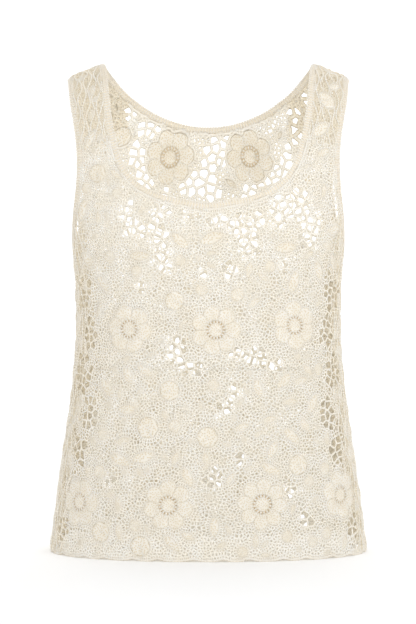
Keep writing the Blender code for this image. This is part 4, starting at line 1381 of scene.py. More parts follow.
def repeated(unit, rows, material, loose_turn=0.0, loose_size=0.0):
    """Copies of a unit mesh, one for each row of (x, y, z, turn, size x, size y, size z), as one mesh."""
    rows = np.asarray(rows, float)
    points = bpy.data.meshes.new("points")
    points.vertices.add(len(rows))
    points.vertices.foreach_set("co", rows[:, :3].ravel())
    points.attributes.new("turn", "FLOAT", "POINT").data.foreach_set("value", rows[:, 3])
    points.attributes.new("size", "FLOAT_VECTOR", "POINT").data.foreach_set("vector", rows[:, 4:7].ravel())
    holder = placed("points", points)
    model = placed("unit", unit)
    tree = bpy.data.node_groups.get("unit on every point") or repeat_tree()
    modifier = holder.modifiers.new("copies", "NODES")
    modifier.node_group = tree
    given = {item.name: item.identifier for item in tree.interface.items_tree if item.in_out == "INPUT"}
    modifier[given["Unit"]] = model
    modifier[given["Loose turn"]] = loose_turn
    modifier[given["Loose size"]] = loose_size
    modifier[given["Thread"]] = material
    shown = holder.evaluated_get(bpy.context.evaluated_depsgraph_get())
    mesh = bpy.data.meshes.new_from_object(shown)
    for item in (holder, model):
        bpy.data.objects.remove(item, do_unlink=True)
    bpy.data.meshes.remove(points)
    bpy.data.meshes.remove(unit)
    return mesh


def lay_mesh(mesh, lay, mirrored):
    """Move a flat mesh onto the cloth with `lay`, keeping its faces outwards."""
    mesh.vertices.foreach_set("co", lay(coordinates(mesh)).ravel())
    if mirrored:
        mesh.flip_normals()
    mesh.update()


def shell(name, top, thickness, uv):
    """A closed thin shell under a grid of (x, y, height) points: rows by columns by 3."""
    rows, columns = top.shape[:2]
    under = top.copy()
    under[..., 2] -= thickness
    verts = np.concatenate([top.reshape(-1, 3), under.reshape(-1, 3)])
    size = rows * columns
    faces, coords = [], []
    flat_uv = uv.reshape(-1, 2)

    def face(*corners):
        faces.append(corners)
        coords.extend(flat_uv[corner % size] for corner in corners)

    for r in range(rows - 1):
        for c in range(columns - 1):
            a, d = r * columns + c, (r + 1) * columns + c
            face(a, a + 1, d + 1, d)
            face(a + size, d + size, d + 1 + size, a + 1 + size)
    edge = list(range(columns))
    edge += [r * columns + columns - 1 for r in range(1, rows)]
    edge += [(rows - 1) * columns + c for c in range(columns - 2, -1, -1)]
    edge += [r * columns for r in range(rows - 2, 0, -1)]
    for a, b in zip(edge, edge[1:] + edge[:1]):
        face(b, a, a + size, b + size)
    return mesh_of(name, verts, faces, coords)


def unit_shell(name, rows, columns, thickness, point_at):
    """A shell whose top is point_at(along, share) as (x, y, height, u, v), for shares from 0 to 1."""
    table = np.array([[point_at(r / (rows - 1), c / (columns - 1)) for c in range(columns)]
                      for r in range(rows)])
    return shell(name, table[..., :3], thickness, table[..., 3:])


def petal_unit():
    """One ribbed, domed petal of the largest flower, from its collar out to a rounded tip."""
    half_turn = math.pi / UNIT_PETALS

    def point_at(along, share):
        across = 2 * share - 1
        tip = UNIT_RADIUS * (1.0 - PETAL_NOTCH * abs(across) ** PETAL_ROUND)
        radius = PETAL_FOOT + (tip - PETAL_FOOT) * along
        angle = across * half_turn
        arch = math.sin(math.pi * (PETAL_ARCH[0] + PETAL_ARCH[1] * along)) ** 0.5
        crown = (1.0 - abs(across) ** PETAL_FULLNESS) * arch
        rib = math.cos(across * math.pi * PETAL_RIBS) * (1.0 - along**4) * (1.0 - abs(across) ** 3)
        x, y = radius * math.cos(angle), radius * math.sin(angle)
        return x, y, PETAL_SEAT + PETAL_RISE * crown + RIB_RISE * rib, x / MM, y / MM

    return unit_shell("petal", *PETAL_GRID, PETAL_SKIN, point_at)


def leaf_unit():
    """A pointed leaf, domed about a raised midrib, 1 m long and wide, to be sized."""
    def point_at(along, share):
        across = 2 * share - 1
        bulge = max(math.sin(math.pi * along), 0.0)
        fullness = bulge**LEAF_CROWN
        crown = (1.0 - across**2) * fullness
        midrib = math.exp(-((across / MIDRIB_WIDTH) ** 2)) * fullness
        vein = math.cos(math.pi * (VEINS[0] * along + VEINS[1] * abs(across))) * (1.0 - across**2) * fullness
        height = LEAF_SEAT + LEAF_RISE * crown + MIDRIB_RISE * midrib + VEIN_RISE * vein
        half = 0.5 * bulge**LEAF_FULLNESS
        return along - 0.5, half * across, height, along * LEAF_THREAD[0], across * LEAF_THREAD[1]

    return unit_shell("leaf", *LEAF_GRID, LEAF_SKIN, point_at)


def rosette_unit(petals):
    """A small round motif, 1 m across, with lobed petals about a raised heart."""
    def point_at(along, share):
        angle = 2 * math.pi * share
        lobe = 0.5 + 0.5 * math.cos(petals * angle)
        out = ROSETTE_EYE + (1.0 - ROSETTE_EYE) * along
        radius = 0.5 * out * (1.0 - ROSETTE_LOBE * (1.0 - lobe) * along)
        heart = math.exp(-((along / ROSETTE_HEART) ** 2))
        rise = math.sin(math.pi * min(1.0, max(0.0, (along - ROSETTE_FOOT) / (1.0 - ROSETTE_FOOT))))
        petal = rise * (ROSETTE_HOLLOW + (1.0 - ROSETTE_HOLLOW) * lobe)
        x, y = radius * math.cos(angle), radius * math.sin(angle)
        height = LEAF_SEAT + ROSETTE_RISE * max(heart, petal)
        return x, y, height, x * ROSETTE_THREAD, y * ROSETTE_THREAD

    return weld(unit_shell("rosette", ROSETTE_ROWS, petals * LOBE_COLUMNS + 1, LEAF_SKIN, point_at))


def heart_unit():
    """The domed middle of a flower."""
    def dome(share):
        return LEAF_SEAT + HEART_RISE * math.sqrt(max(0.0, 1.0 - share**3))

    return round_unit("heart", HEART_EYE, HEART_RADIUS, dome)


def well_unit():
    """The deep round behind the posts of a flower, a sheet whose dark colour is painted shade seen between
    the posts.
    """
    return round_unit("well", *WELL_SIDES, lambda share: 0.0, rows=2)


def round_unit(name, inner, outer, height_at, rows=ROUND_ROWS):
    """A round or a ring between two radii, whose height follows the share of the way out."""
    def point_at(along, share):
        angle = 2 * math.pi * share
        radius = inner + (outer - inner) * along
        x, y = radius * math.cos(angle), radius * math.sin(angle)
        return x, y, height_at(along), x / MM, y / MM

    return weld(unit_shell(name, rows, ROUND_COLUMNS, LEAF_SKIN, point_at))


def weld(mesh):
    """Close a shell whose first and last columns meet, and drop the empty faces that are left."""
    work = bmesh.new()
    work.from_mesh(mesh)
    bmesh.ops.remove_doubles(work, verts=work.verts, dist=WELD_REACH)
    inner = [face for face in work.faces if face.calc_area() < EMPTY_AREA]
    bmesh.ops.delete(work, geom=inner, context="FACES_ONLY")
    work.to_mesh(mesh)
    work.free()
    return mesh


def bead_unit(sides=BEAD_SIDES, rings=BEAD_RINGS):
    """One crocheted stitch: a plump strand with tapered ends, 1 m long, wide and high."""
    verts = [(-0.5, 0.0, 0.0)]
    for i in range(1, rings):
        share = i / rings
        radius = 0.5 * math.sin(math.pi * share) ** BEAD_TAPER
        for k in range(sides):
            angle = 2 * math.pi * k / sides
            verts.append((share - 0.5, radius * math.cos(angle), radius * math.sin(angle)))
    verts.append((0.5, 0.0, 0.0))
    last = len(verts) - 1
    faces = [(0, 1 + (k + 1) % sides, 1 + k) for k in range(sides)]
    for i in range(rings - 2):
        for k in range(sides):
            a, b = 1 + i * sides + k, 1 + i * sides + (k + 1) % sides
            faces.append((a, b, b + sides, a + sides))
    faces += [(last, last - sides + k, last - sides + (k + 1) % sides) for k in range(sides)]
    # Thread coordinates run from 0.5 on the crest to 1 at the sides, where the material paints shade
    coords = [(verts[corner][0] * BEAD_THREAD, 0.5 + abs(verts[corner][1]))
              for face in faces for corner in face]
    return mesh_of("stitch", verts, faces, coords)


def chain_rows(path):
    """Rows for a crocheted chain along a path: paired stitches that lean outwards."""
    place, heading = spaced(path, CHAIN_PITCH)
    rows = []
    for side in (-1.0, 1.0):
        aside = side * CHAIN_STITCH[1] * CHAIN_ASIDE
        rows.append(np.column_stack([
            place[:, 0] - np.sin(heading) * aside, place[:, 1] + np.cos(heading) * aside,
            np.zeros(len(place)), heading + side * CHAIN_SLANT, np.tile(CHAIN_STITCH, (len(place), 1)),
        ]))
    return np.concatenate(rows)


def bar_rows(path, pitch, size, turn, lift=0.0):
    """Rows for single stitches of one size along a path, each turned across it."""
    place, heading = spaced(path, pitch)
    sizes = np.tile(size, (len(place), 1))
    return np.column_stack([place, np.full(len(place), lift), heading + turn, sizes])


def spaced(path, pitch):
    """Evenly spaced places along a path, and its heading at each."""
    lengths = lengths_along(path)
    count = max(3, int(round(lengths[-1] / pitch)))
    at = (np.arange(count) + 0.5) * lengths[-1] / count
    place = places_at(path, lengths, at)
    onward = places_at(path, lengths, at + LOOK_AHEAD) - place
    return place, np.arctan2(onward[:, 1], onward[:, 0])


def loop_area(loop):
    """The area inside a closed polygon."""
    following = np.roll(loop, -1, axis=0)
    return 0.5 * abs(float(np.sum(loop[:, 0] * following[:, 1] - loop[:, 1] * following[:, 0])))


def part_of_loop(loop, level, lower):
    """The part of a closed polygon above or below a level of `down`."""
    kept = []
    for here, there in zip(loop, np.roll(loop, -1, axis=0)):
        within = (here[1] >= level) == lower
        if within:
            kept.append(here)
        if (here[1] >= level) != (there[1] >= level):
            kept.append(here + (there - here) * (level - here[1]) / (there[1] - here[1]))
    return np.array(kept)


def lace_net(panel, thread, material):
    """The panel's net as two pieces, upper and lower, with each one's cut size."""
    found = panel.sites(thread.stitch)
    net = Net(found.points, found.labels)
    middle = (net.places[net.source, 1] + net.places[net.target, 1]) / 2
    level = float(np.median(middle))
    made = []
    for name, lower in zip(NET_PIECES, (False, True)):
        chosen = (middle >= level) == lower
        piece = net_piece(panel, net, chosen, panel.side + "_lace_" + name, thread, material)
        region = part_of_loop(panel.outline, level, lower)
        size = region.max(axis=0) - region.min(axis=0)
        made.append((piece, (float(size[0]), float(size[1])), loop_area(region)))
    return made


def flower_rows(panel):
    """One row for each petal of the panel's flowers."""
    unit_half = math.pi / UNIT_PETALS
    rows = []
    for centre, flower in zip(panel.flower_centres, panel.flowers):
        size = flower.radius / UNIT_RADIUS
        spread = size * math.tan(math.pi / flower.petals) / math.tan(unit_half)
        for i in range(flower.petals):
            turn = math.radians(flower.turn) + i * 2 * math.pi / flower.petals
            rows.append((*centre, 0.0, turn, size, spread, 1.0))
    return rows


def centre_rows(panel):
    """One row for each flower's middle."""
    return [(*centre, 0.0, 0.0, 1.0, 1.0, 1.0) for centre in panel.flower_centres]


def ring_post_rows(panel):
    """Rows for the stitches that stand round each flower's heart."""
    pitch = 2 * math.pi * POST_RING / RING_POSTS
    rows = []
    for centre in panel.flower_centres:
        path = closed_path(np.array(ring(centre, POST_RING, PATH_SPACING)))
        for lift in (RING_LIFT, -RING_LIFT):
            rows.append(bar_rows(path, pitch, (POST_REACH, *RING_STITCH), math.pi / 2, lift))
    return np.concatenate(rows)


def cord_rows(panel):
    """Rows for the cord round each leaf, rosette and button."""
    rows = []
    for motif in panel.motifs:
        path = closed_path(EDGES[motif.kind](motif, -CORD_INSET))
        rows.append(bar_rows(path, CORD_PITCH, (CORD_REACH, *POST_STITCH), CORD_TURN, CORD_LIFT))
    return np.concatenate(rows)


def long_cord_rows(panel):
    """Rows for the cords that sway down the sides and the straps, clear of the flowers and leaves."""
    down = np.arange(0.0, panel.surface.hem_level(), CORD_STEP)
    side_line = panel.surface.side_line(down * panel.sign)
    rows = []
    for number, base in enumerate((*SIDE_CORDS, *STRAP_CORDS)):
        sway = CORD_SWAY * np.sin(2 * math.pi * down / CORD_WAVE + CORD_PHASE * number)
        if base in SIDE_CORDS:
            across, used = side_line - base + sway, down > STRAP_ZONE[1]
        else:
            across, used = base + sway, down < STRAP_ZONE[1]
        for mirror in (-1.0, 1.0):
            path = np.column_stack([across * mirror, down])[used]
            rows.append(bar_rows(path, LONG_PITCH, LONG_CORD, LONG_TURN * mirror, LONG_LIFT))
    rows = np.concatenate(rows)
    inside = inside_loop(rows[:, :2], panel.outline)
    for loop in panel.covered:
        inside &= ~inside_loop(rows[:, :2], loop)
    return rows[inside]


def motif_rows(panel, kind):
    """One row for each of the panel's motifs of one kind."""
    return [(m.across, m.down, 0.0, m.turn, m.size[0], m.size[1], 1.0)
            for m in panel.motifs if m.kind == kind]


def hem_rows(panel):
    """Rows for the chain of stitches along the scalloped hem."""
    path = hem_line(panel.surface, panel.side, panel.surface.hem_level())
    return chain_rows(curve_through(path, EDGE_SPACING) - (0.0, HEM_CORD_RISE))


def motif_piece(panel, name, unit, rows, material, loose=(0.0, 0.0)):
    """Copies of one unit, laid on the panel."""
    mesh = repeated(unit, rows, material, *loose)
    lay_mesh(mesh, panel.lay, panel.sign < 0.0)
    return new_piece(panel.side + name, mesh, material)


def panel_pieces(side, settings):
    """All the pieces of the front or the back, riding on the body in place of the solid panel."""
    panel = Panel(side)
    lace = cotton("cotton lace", settings.colour)
    motif = cotton("cotton motifs", settings.motif_colour, dots=True)
    thread = Thread(getattr(settings, side + "_stitch"), getattr(settings, side + "_bar"),
                    settings.bar_height, HOLE_KEPT[side])
    nets = lace_net(panel, thread, lace)
    extras = [
        motif_piece(panel, "_petals", petal_unit(), flower_rows(panel), motif),
        motif_piece(panel, "_hearts", heart_unit(), centre_rows(panel), motif),
        # The wells carry painted shade, seen between the ring's posts
        motif_piece(panel, "_wells", well_unit(), centre_rows(panel),
                    cotton(side + " cotton painted shade", WELL_PAINTED_SHADE[side])),
        motif_piece(panel, "_ring_posts", bead_unit(), ring_post_rows(panel), lace),
        motif_piece(panel, "_leaves", leaf_unit(), motif_rows(panel, "leaf"), motif),
        motif_piece(panel, "_rosettes", rosette_unit(ROSETTE_PETALS), motif_rows(panel, "rosette"), motif),
        motif_piece(panel, "_buttons", rosette_unit(BUTTON_PETALS), motif_rows(panel, "button"), motif),
        motif_piece(panel, "_cords", bead_unit(4, 3), cord_rows(panel), lace),
        motif_piece(panel, "_long_cords", bead_unit(5, 3), long_cord_rows(panel), lace),
        motif_piece(panel, "_hem_cord", bead_unit(), hem_rows(panel), lace, HEM_LOOSE),
    ]
    for piece, _, _ in nets:
        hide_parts(side + "_panel")
    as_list(extras[:-1])
    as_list(extras[-1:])


class EdgeStrip:
    """A closed narrow strip of the surface: maps (along, inset, height) to points on it."""

    def __init__(self, surface, route, width, towards, mirrored=False):
        insets = np.linspace(0.0, width, BAND_RAILS)
        rails = [inset_route(surface, route, inset, towards) for inset in insets]
        self.points = np.stack([surface.place(*rail.T) for rail in rails])
        self.normals = np.stack([surface.place(*rail.T, 1.0) for rail in rails]) - self.points
        self.width = width
        self.mirrored = mirrored
        middle = self.points[BAND_RAILS // 2]
        steps = np.linalg.norm(np.roll(middle, -1, axis=0) - middle, axis=1)
        self.lengths = np.concatenate(([0.0], np.cumsum(steps)))

    def _around(self, grid, rail, at):
        """Read a closed row of a grid smoothly between its stations."""
        i = np.floor(at).astype(int)
        f = (at - i)[:, None]
        count = grid.shape[1]
        a, b, c, d = (grid[rail, (i + k) % count] for k in (-1, 0, 1, 2))
        return 0.5 * (2 * b + (c - a) * f + (2 * a - 5 * b + 4 * c - d) * f**2
                      + (3 * b - a - 3 * c + d) * f**3)

    def lay(self, flat):
        """Points of a flat mesh, with x along the strip and y in from its edge, on the strip."""
        along = flat[:, 0] % self.lengths[-1]
        at = np.interp(along, self.lengths, np.arange(len(self.lengths)))
        share = flat[:, 1] / self.width * (BAND_RAILS - 1)
        rail = np.clip(np.floor(share), 0, BAND_RAILS - 2).astype(int)
        part = (share - rail)[:, None]
        points, normals = (
            self._around(grid, rail, at) * (1 - part) + self._around(grid, rail + 1, at) * part
            for grid in (self.points, self.normals)
        )
        normals /= np.linalg.norm(normals, axis=1, keepdims=True)
        laid = points + normals * flat[:, 2:3]
        off_top = (self.points[..., 2].max() - laid[:, 2]) / CORNER_REACH
        off_edge = np.clip(1.0 - flat[:, 1] / self.width, 0.0, 1.0)
        laid[:, 2] -= CORNER_DROP * np.exp(-(off_top**2)) * off_edge**3
        return laid * (-1.0, 1.0, 1.0) if self.mirrored else laid


def band_body(strip):
    """The dense middle of an edging, as a closed flat strip under its stitches, coloured darker as painted
    shade between them.
    """
    inset, overlap, rise = BAND_BODY
    count = len(strip.lengths) - 1
    along = np.arange(count) * strip.lengths[-1] / count
    inner = strip.width + overlap
    section = [(inset, rise), (inner, rise), (inner, -rise), (inset, -rise)]
    verts = [(a, y, z) for y, z in section for a in along]
    faces, coords = [], []
    for k in range(4):
        for i in range(count):
            j = (i + 1) % count
            faces.append((k * count + i, k * count + j, (k + 1) % 4 * count + j, (k + 1) % 4 * count + i))
            coords += [(0.0, BODY_PAINTED_SHADE)] * 4
    return mesh_of("band body", verts, faces, coords)


def joined(meshes):
    """Several meshes as one."""
    work = bmesh.new()
    for mesh in meshes:
        work.from_mesh(mesh)
        bpy.data.meshes.remove(mesh)
    whole = bpy.data.meshes.new("joined")
    work.to_mesh(whole)
    work.free()
    return whole


def band_piece(name, strip, material, flipped):
    """A crocheted edging: a dense strip with two chains on it, and leaning posts between them."""
    straight = np.array([(0.0, 0.0), (strip.lengths[-1], 0.0)])
    lines = [chain_rows(straight + (0.0, inset))
             for inset in (CHAIN_INSETS[0], strip.width - CHAIN_INSETS[1])]
    middle = straight + (0.0, strip.width / 2 + POST_OFFSET)
    post = (strip.width - POST_MARGIN, *POST_STITCH)
    lines += [bar_rows(middle, POST_PITCH, post, lean + math.pi / 2) for lean in (-POST_LEAN, POST_LEAN)]
    stitches = repeated(bead_unit(), np.concatenate(lines), material, *BAND_LOOSE)
    mesh = joined([stitches, band_body(strip)])
    lay_mesh(mesh, strip.lay, flipped)
    return new_piece(name, mesh, material)


def build_edging(settings):
    """The neck band and both armhole bands, in place of their plain solids."""
    cut = top_cut()
    cord = cotton("cotton edging", settings.colour)
    neck = EdgeStrip(cut.surface, cut.neck, NECK_BAND_WIDTH, NECK_INWARD)
    piece = band_piece("neck_edging", neck, cord, flipped=True)
    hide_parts("neck_band")
    for side, mirrored in (("left", False), ("right", True)):
        strip = EdgeStrip(cut.surface, cut.armhole, ARMHOLE_BAND_WIDTH, ARMHOLE_INWARD, mirrored)
        piece = band_piece("armhole_edging_" + side, strip, cord, flipped=mirrored)
        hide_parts("armhole_band_" + side)


def sewn(name, starts, ends, outwards, material):
    """Stitches from each start to its end, as one mesh of plump beads."""
    unit = bead_unit()
    flat = coordinates(unit)
    faces = [tuple(face.vertices) for face in unit.polygons]
    onward = ends - starts
    sideways = np.cross(outwards, onward)
    sideways *= SEAM_STITCH[0] / np.linalg.norm(sideways, axis=1, keepdims=True)
    upward = outwards * SEAM_STITCH[1] / np.linalg.norm(outwards, axis=1, keepdims=True)
    verts = ((starts + ends)[:, None] / 2 + flat[None, :, 0:1] * onward[:, None]
             + flat[None, :, 1:2] * sideways[:, None] + flat[None, :, 2:3] * upward[:, None])
    every = [tuple(corner + i * len(flat) for corner in face) for i in range(len(starts)) for face in faces]
    coords = np.array([flat[vertex % len(flat), :2] for face in every for vertex in face])
    mesh = mesh_of(name, verts.reshape(-1, 3), every, coords * BEAD_THREAD)
    bpy.data.meshes.remove(unit)
    return new_piece(name, mesh, material)


def build_seams(settings):
    """Whip stitches across the side seams and the shoulder seams."""
    cut = top_cut()
    surface = cut.surface
    lace = cotton("cotton lace", settings.colour)
    bite = SEAM_BITE
    downs = np.arange(-float(cut.panel_armhole[0, 1]) + SEAM_END, surface.hem_level() - SEAM_END, SEAM_PITCH)
    front = surface.place(surface.side_line(-downs) - bite, -downs, SEAM_LIFT)
    back = surface.place(surface.side_line(downs + bite) - bite, downs + bite, SEAM_LIFT)
    neck = cut.panel_neck[: len(cut.panel_neck) // 2]
    armhole = cut.panel_armhole[np.abs(cut.panel_armhole[:, 1]) < SHOULDER_REACH]
    inner, outer = (float(np.interp(0.0, edge[:, 1], edge[:, 0])) for edge in (neck, armhole))
    across = np.arange(inner + EDGE_CLEAR, outer - EDGE_CLEAR, SEAM_PITCH)
    before = surface.place(across, np.full(len(across), -bite), SEAM_LIFT)
    behind = surface.place(across + bite, np.full(len(across), bite), SEAM_LIFT)
    starts = np.concatenate([front, before])
    ends = np.concatenate([back, behind])
    ups = np.concatenate([np.tile((1.0, 0.0, 0.0), (len(downs), 1)),
                          np.tile((0.0, 0.0, 1.0), (len(across), 1))])
    for side, flip in (("left", 1.0), ("right", -1.0)):
        mirror = np.array([flip, 1.0, 1.0])
        sewn("seams_" + side, starts * mirror, ends * mirror, ups * mirror, lace)


def cotton(name, colour, dots=False):
    """Matt cotton thread with a wandering tone, the yarn's twist or small dots of painted shade between
    stitches, painted shade on bar sides, in long zones and crevices, and a painted glow.
    """
    found = bpy.data.materials.get(name)
    if found:
        return found
    material = bpy.data.materials.new(name)
    material.use_nodes = True
    tree = material.node_tree
    shader = tree.nodes["Principled BSDF"]
    shader.inputs["Roughness"].default_value = ROUGHNESS
    shader.inputs["Sheen Weight"].default_value = SHEEN[0]
    shader.inputs["Sheen Roughness"].default_value = SHEEN[1]
    place = tree.nodes.new("ShaderNodeTexCoord")
    noise = tree.nodes.new("ShaderNodeTexNoise")
    noise.inputs["Scale"].default_value = TONE_SCALE
    noise.inputs["Detail"].default_value = TONE_DETAIL
    tree.links.new(place.outputs["Object"], noise.inputs["Vector"])
    patches = ranged(tree, noise.outputs["Fac"], TONE_RANGE)
    tone = mix_node(tree, patches, tinted(colour, TONE_LOW), colour)
    thread = tree.nodes.new("ShaderNodeUVMap")
    thread.uv_map = "thread"
    if dots:
        # Painted shade in the crevices between stitches, whose pattern also gives the bump
        cells = tree.nodes.new("ShaderNodeTexVoronoi")
        cells.voronoi_dimensions = "2D"
        cells.inputs["Scale"].default_value = DOT_SCALE
        cells.inputs["Randomness"].default_value = DOT_WANDER
        tree.links.new(thread.outputs["UV"], cells.inputs["Vector"])
        height = ranged(tree, cells.outputs["Distance"], DOT_EDGE, "SMOOTHSTEP")
        tone = mix_node(tree, height, tinted(colour, DOT_PAINTED_SHADE), tone)
    else:
        across = tree.nodes.new("ShaderNodeSeparateXYZ")
        tree.links.new(thread.outputs["UV"], across.inputs[0])
        off_crest = tree.nodes.new("ShaderNodeMath")
        off_crest.operation = "SUBTRACT"
        off_crest.inputs[1].default_value = 0.5
        tree.links.new(across.outputs["Y"], off_crest.inputs[0])
        distance = tree.nodes.new("ShaderNodeMath")
        distance.operation = "ABSOLUTE"
        tree.links.new(off_crest.outputs[0], distance.inputs[0])
        # Painted shade: the sides of each bar darker than its crest
        side = ranged(tree, distance.outputs[0], EDGE_RANGE, "SMOOTHSTEP")
        tone = mix_node(tree, side, tone, tinted(colour, EDGE_PAINTED_SHADE))
        # Painted shade: bars in the zones of long stitches darker still
        long_zone_shade = ranged(tree, distance.outputs[0], LONG_ZONE_SHADE_RANGE)
        tone = mix_node(tree, long_zone_shade, tone, tinted(colour, LONG_ZONE_PAINTED_SHADE))
        wave = tree.nodes.new("ShaderNodeTexWave")
        wave.wave_type = "BANDS"
        wave.bands_direction = "DIAGONAL"
        wave.inputs["Scale"].default_value = TWIST[0]
        wave.inputs["Distortion"].default_value = TWIST[1]
        tree.links.new(thread.outputs["UV"], wave.inputs["Vector"])
        height = wave.outputs["Fac"]
    # Painted shade: crevices darkened by ambient occlusion
    crevice = tree.nodes.new("ShaderNodeAmbientOcclusion")
    crevice.samples = CREVICE_SAMPLES
    crevice.inputs["Distance"].default_value = CREVICE_REACH
    clear = ranged(tree, crevice.outputs["AO"], CREVICE_RANGE)
    tone = mix_node(tree, clear, tinted(colour, CREVICE_PAINTED_SHADE), tone)
    tree.links.new(tone, shader.inputs["Base Color"])
    bump = tree.nodes.new("ShaderNodeBump")
    bump.inputs["Strength"].default_value = BUMP[0]
    bump.inputs["Distance"].default_value = BUMP[1]
    tree.links.new(height, bump.inputs["Height"])
    tree.links.new(bump.outputs["Normal"], shader.inputs["Normal"])
    through = tree.nodes.new("ShaderNodeBsdfTranslucent")
    tree.links.new(tone, through.inputs["Color"])
    both = tree.nodes.new("ShaderNodeMixShader")
    both.inputs["Fac"].default_value = LIGHT_THROUGH
    tree.links.new(shader.outputs["BSDF"], both.inputs[1])
    tree.links.new(through.outputs["BSDF"], both.inputs[2])
    tree.links.new(both.outputs["Shader"], tree.nodes["Material Output"].inputs["Surface"])
    # Painted light: the thread gives light of its own
    tree.links.new(tone, shader.inputs["Emission Color"])
    shader.inputs["Emission Strength"].default_value = PAINTED_GLOW / (1.0 - LIGHT_THROUGH)
    return material


def tinted(colour, shade):
    """A colour multiplied by a shade, channel by channel."""
    return [channel * share for channel, share in zip(colour, shade)]


def ranged(tree, source, ends, kind="LINEAR"):
    """A value brought to run from 0 at the first end to 1 at the second."""
    node = tree.nodes.new("ShaderNodeMapRange")
    node.interpolation_type = kind
    node.inputs["From Min"].default_value, node.inputs["From Max"].default_value = ends
    tree.links.new(source, node.inputs["Value"])
    return node.outputs["Result"]


def mix_node(tree, factor, low, high):
    """A colour that runs from low to high with a factor. Each end is a colour or a node's output."""
    mix = tree.nodes.new("ShaderNodeMix")
    mix.data_type = "RGBA"
    sockets = [socket for socket in mix.inputs if socket.type == "RGBA"]
    for socket, colour in zip(sockets, (low, high)):
        if isinstance(colour, bpy.types.NodeSocket):
            tree.links.new(colour, socket)
        else:
            socket.default_value = (*colour, 1.0)
    tree.links.new(factor, mix.inputs[0])
    return next(socket for socket in mix.outputs if socket.type == "RGBA")


def plain(name, colour, glow):
    """A matt surface with a little light of its own, for the floor and the backdrop."""
    material = bpy.data.materials.new(name)
    material.use_nodes = True
    shader = material.node_tree.nodes["Principled BSDF"]
    shader.inputs["Base Color"].default_value = (*colour, 1.0)
    shader.inputs["Roughness"].default_value = 1.0
    shader.inputs["Emission Color"].default_value = (1.0, 1.0, 1.0, 1.0)
    shader.inputs["Emission Strength"].default_value = glow
    return material


def paper_sheet(name, section, material):
    """A wide sheet of paper whose section is given as (y, z) points."""
    verts = [(x, y, z) for y, z in section for x in (-PAPER_REACH, PAPER_REACH)]
    faces = [(2 * i, 2 * i + 1, 2 * i + 3, 2 * i + 2) for i in range(len(section) - 1)]
    mesh = bpy.data.meshes.new(name)
    mesh.from_pydata(verts, [], faces)
    smooth_object(name, mesh, material)


def build_stage(settings):
    """White floor and a lit backdrop, soft lights, sky light and the camera."""
    rise = [(PAPER_BEND + BEND_RADIUS * math.sin(turn), FLOOR_LEVEL + BEND_RADIUS * (1.0 - math.cos(turn)))
            for turn in np.linspace(0.0, math.pi / 2, BEND_STEPS)]
    floor_paper = plain("paper floor", settings.paper, settings.floor_glow)
    paper_sheet("floor", [(FLOOR_FRONT, FLOOR_LEVEL), rise[0]], floor_paper)
    white_paper = plain("white paper", settings.paper, settings.paper_glow)
    paper_sheet("backdrop", [*rise, (rise[-1][0], PAPER_TOP)], white_paper)
    for name, place, size, power in LIGHTS:
        lamp = bpy.data.lights.new(name, "AREA")
        lamp.shape = "RECTANGLE"
        lamp.size, lamp.size_y = size
        lamp.energy = power * settings.brightness
        light = placed(name, lamp)
        light.location = place
        aim = Vector((0.0, 0.0, CAMERA_LEVEL)) - Vector(place)
        light.rotation_euler = aim.to_track_quat("-Z", "Y").to_euler()
    world = bpy.data.worlds.new("sky")
    world.use_nodes = True
    tree = world.node_tree
    tree.nodes["Background"].inputs["Strength"].default_value = settings.sky
    place = tree.nodes.new("ShaderNodeTexCoord")
    parts = tree.nodes.new("ShaderNodeSeparateXYZ")
    tree.links.new(place.outputs["Generated"], parts.inputs[0])
    front = ranged(tree, parts.outputs["Y"], FRONT_SKY)
    shade = mix_node(tree, front, (SIDE_SKY,) * 3, (1.0, 1.0, 1.0))
    tree.links.new(shade, tree.nodes["Background"].inputs["Color"])
    bpy.context.scene.world = world
    camera_data = bpy.data.cameras.new("camera")
    camera_data.sensor_fit = "VERTICAL"
    camera_data.sensor_height = SENSOR_HEIGHT
    camera_data.lens = LENS
    camera = placed("camera", camera_data)
    camera.location = (CAMERA_SIDE, -CAMERA_DISTANCE, CAMERA_LEVEL)
    camera.rotation_euler = (math.pi / 2, 0.0, 0.0)
    bpy.context.scene.camera = camera
    bpy.context.scene.view_settings.view_transform = "Standard"


class LaceSettings(bpy.types.PropertyGroup):
    """What can be changed on the lace panels."""
    front_stitch: bpy.props.FloatProperty(
        name="Front stitch", description="Distance between the holes of the front's net",
        default=3.3 * MM, min=2.0 * MM, max=12.0 * MM, precision=4, unit="LENGTH")
    back_stitch: bpy.props.FloatProperty(
        name="Back stitch", description="Distance between the holes of the back's net",
        default=4.0 * MM, min=2.0 * MM, max=12.0 * MM, precision=4, unit="LENGTH")
    front_bar: bpy.props.FloatProperty(
        name="Front bar", description="Width of the bars between the front's holes",
        default=2.05 * MM, min=0.5 * MM, max=4.0 * MM, precision=4, unit="LENGTH")
    back_bar: bpy.props.FloatProperty(
        name="Back bar", description="Width of the bars between the back's holes",
        default=2.95 * MM, min=0.5 * MM, max=4.0 * MM, precision=4, unit="LENGTH")
    bar_height: bpy.props.FloatProperty(
        name="Bar height", description="Thickness of the crocheted bars",
        default=1.3 * MM, min=0.5 * MM, max=3.0 * MM, precision=4, unit="LENGTH")
    colour: bpy.props.FloatVectorProperty(
        name="Lace colour", description="Colour of the lace net", default=(0.94, 0.93, 0.895),
        min=0.0, max=1.0, subtype="COLOR")
    motif_colour: bpy.props.FloatVectorProperty(
        name="Motif colour", description="Colour of the petals and leaves", default=(0.885, 0.87, 0.825),
        min=0.0, max=1.0, subtype="COLOR")


class EdgeSettings(bpy.types.PropertyGroup):
    """What can be changed on the edging."""
    colour: bpy.props.FloatVectorProperty(
        name="Edging colour", description="Colour of the neck and armhole edging",
        default=(0.935, 0.92, 0.88), min=0.0, max=1.0, subtype="COLOR")


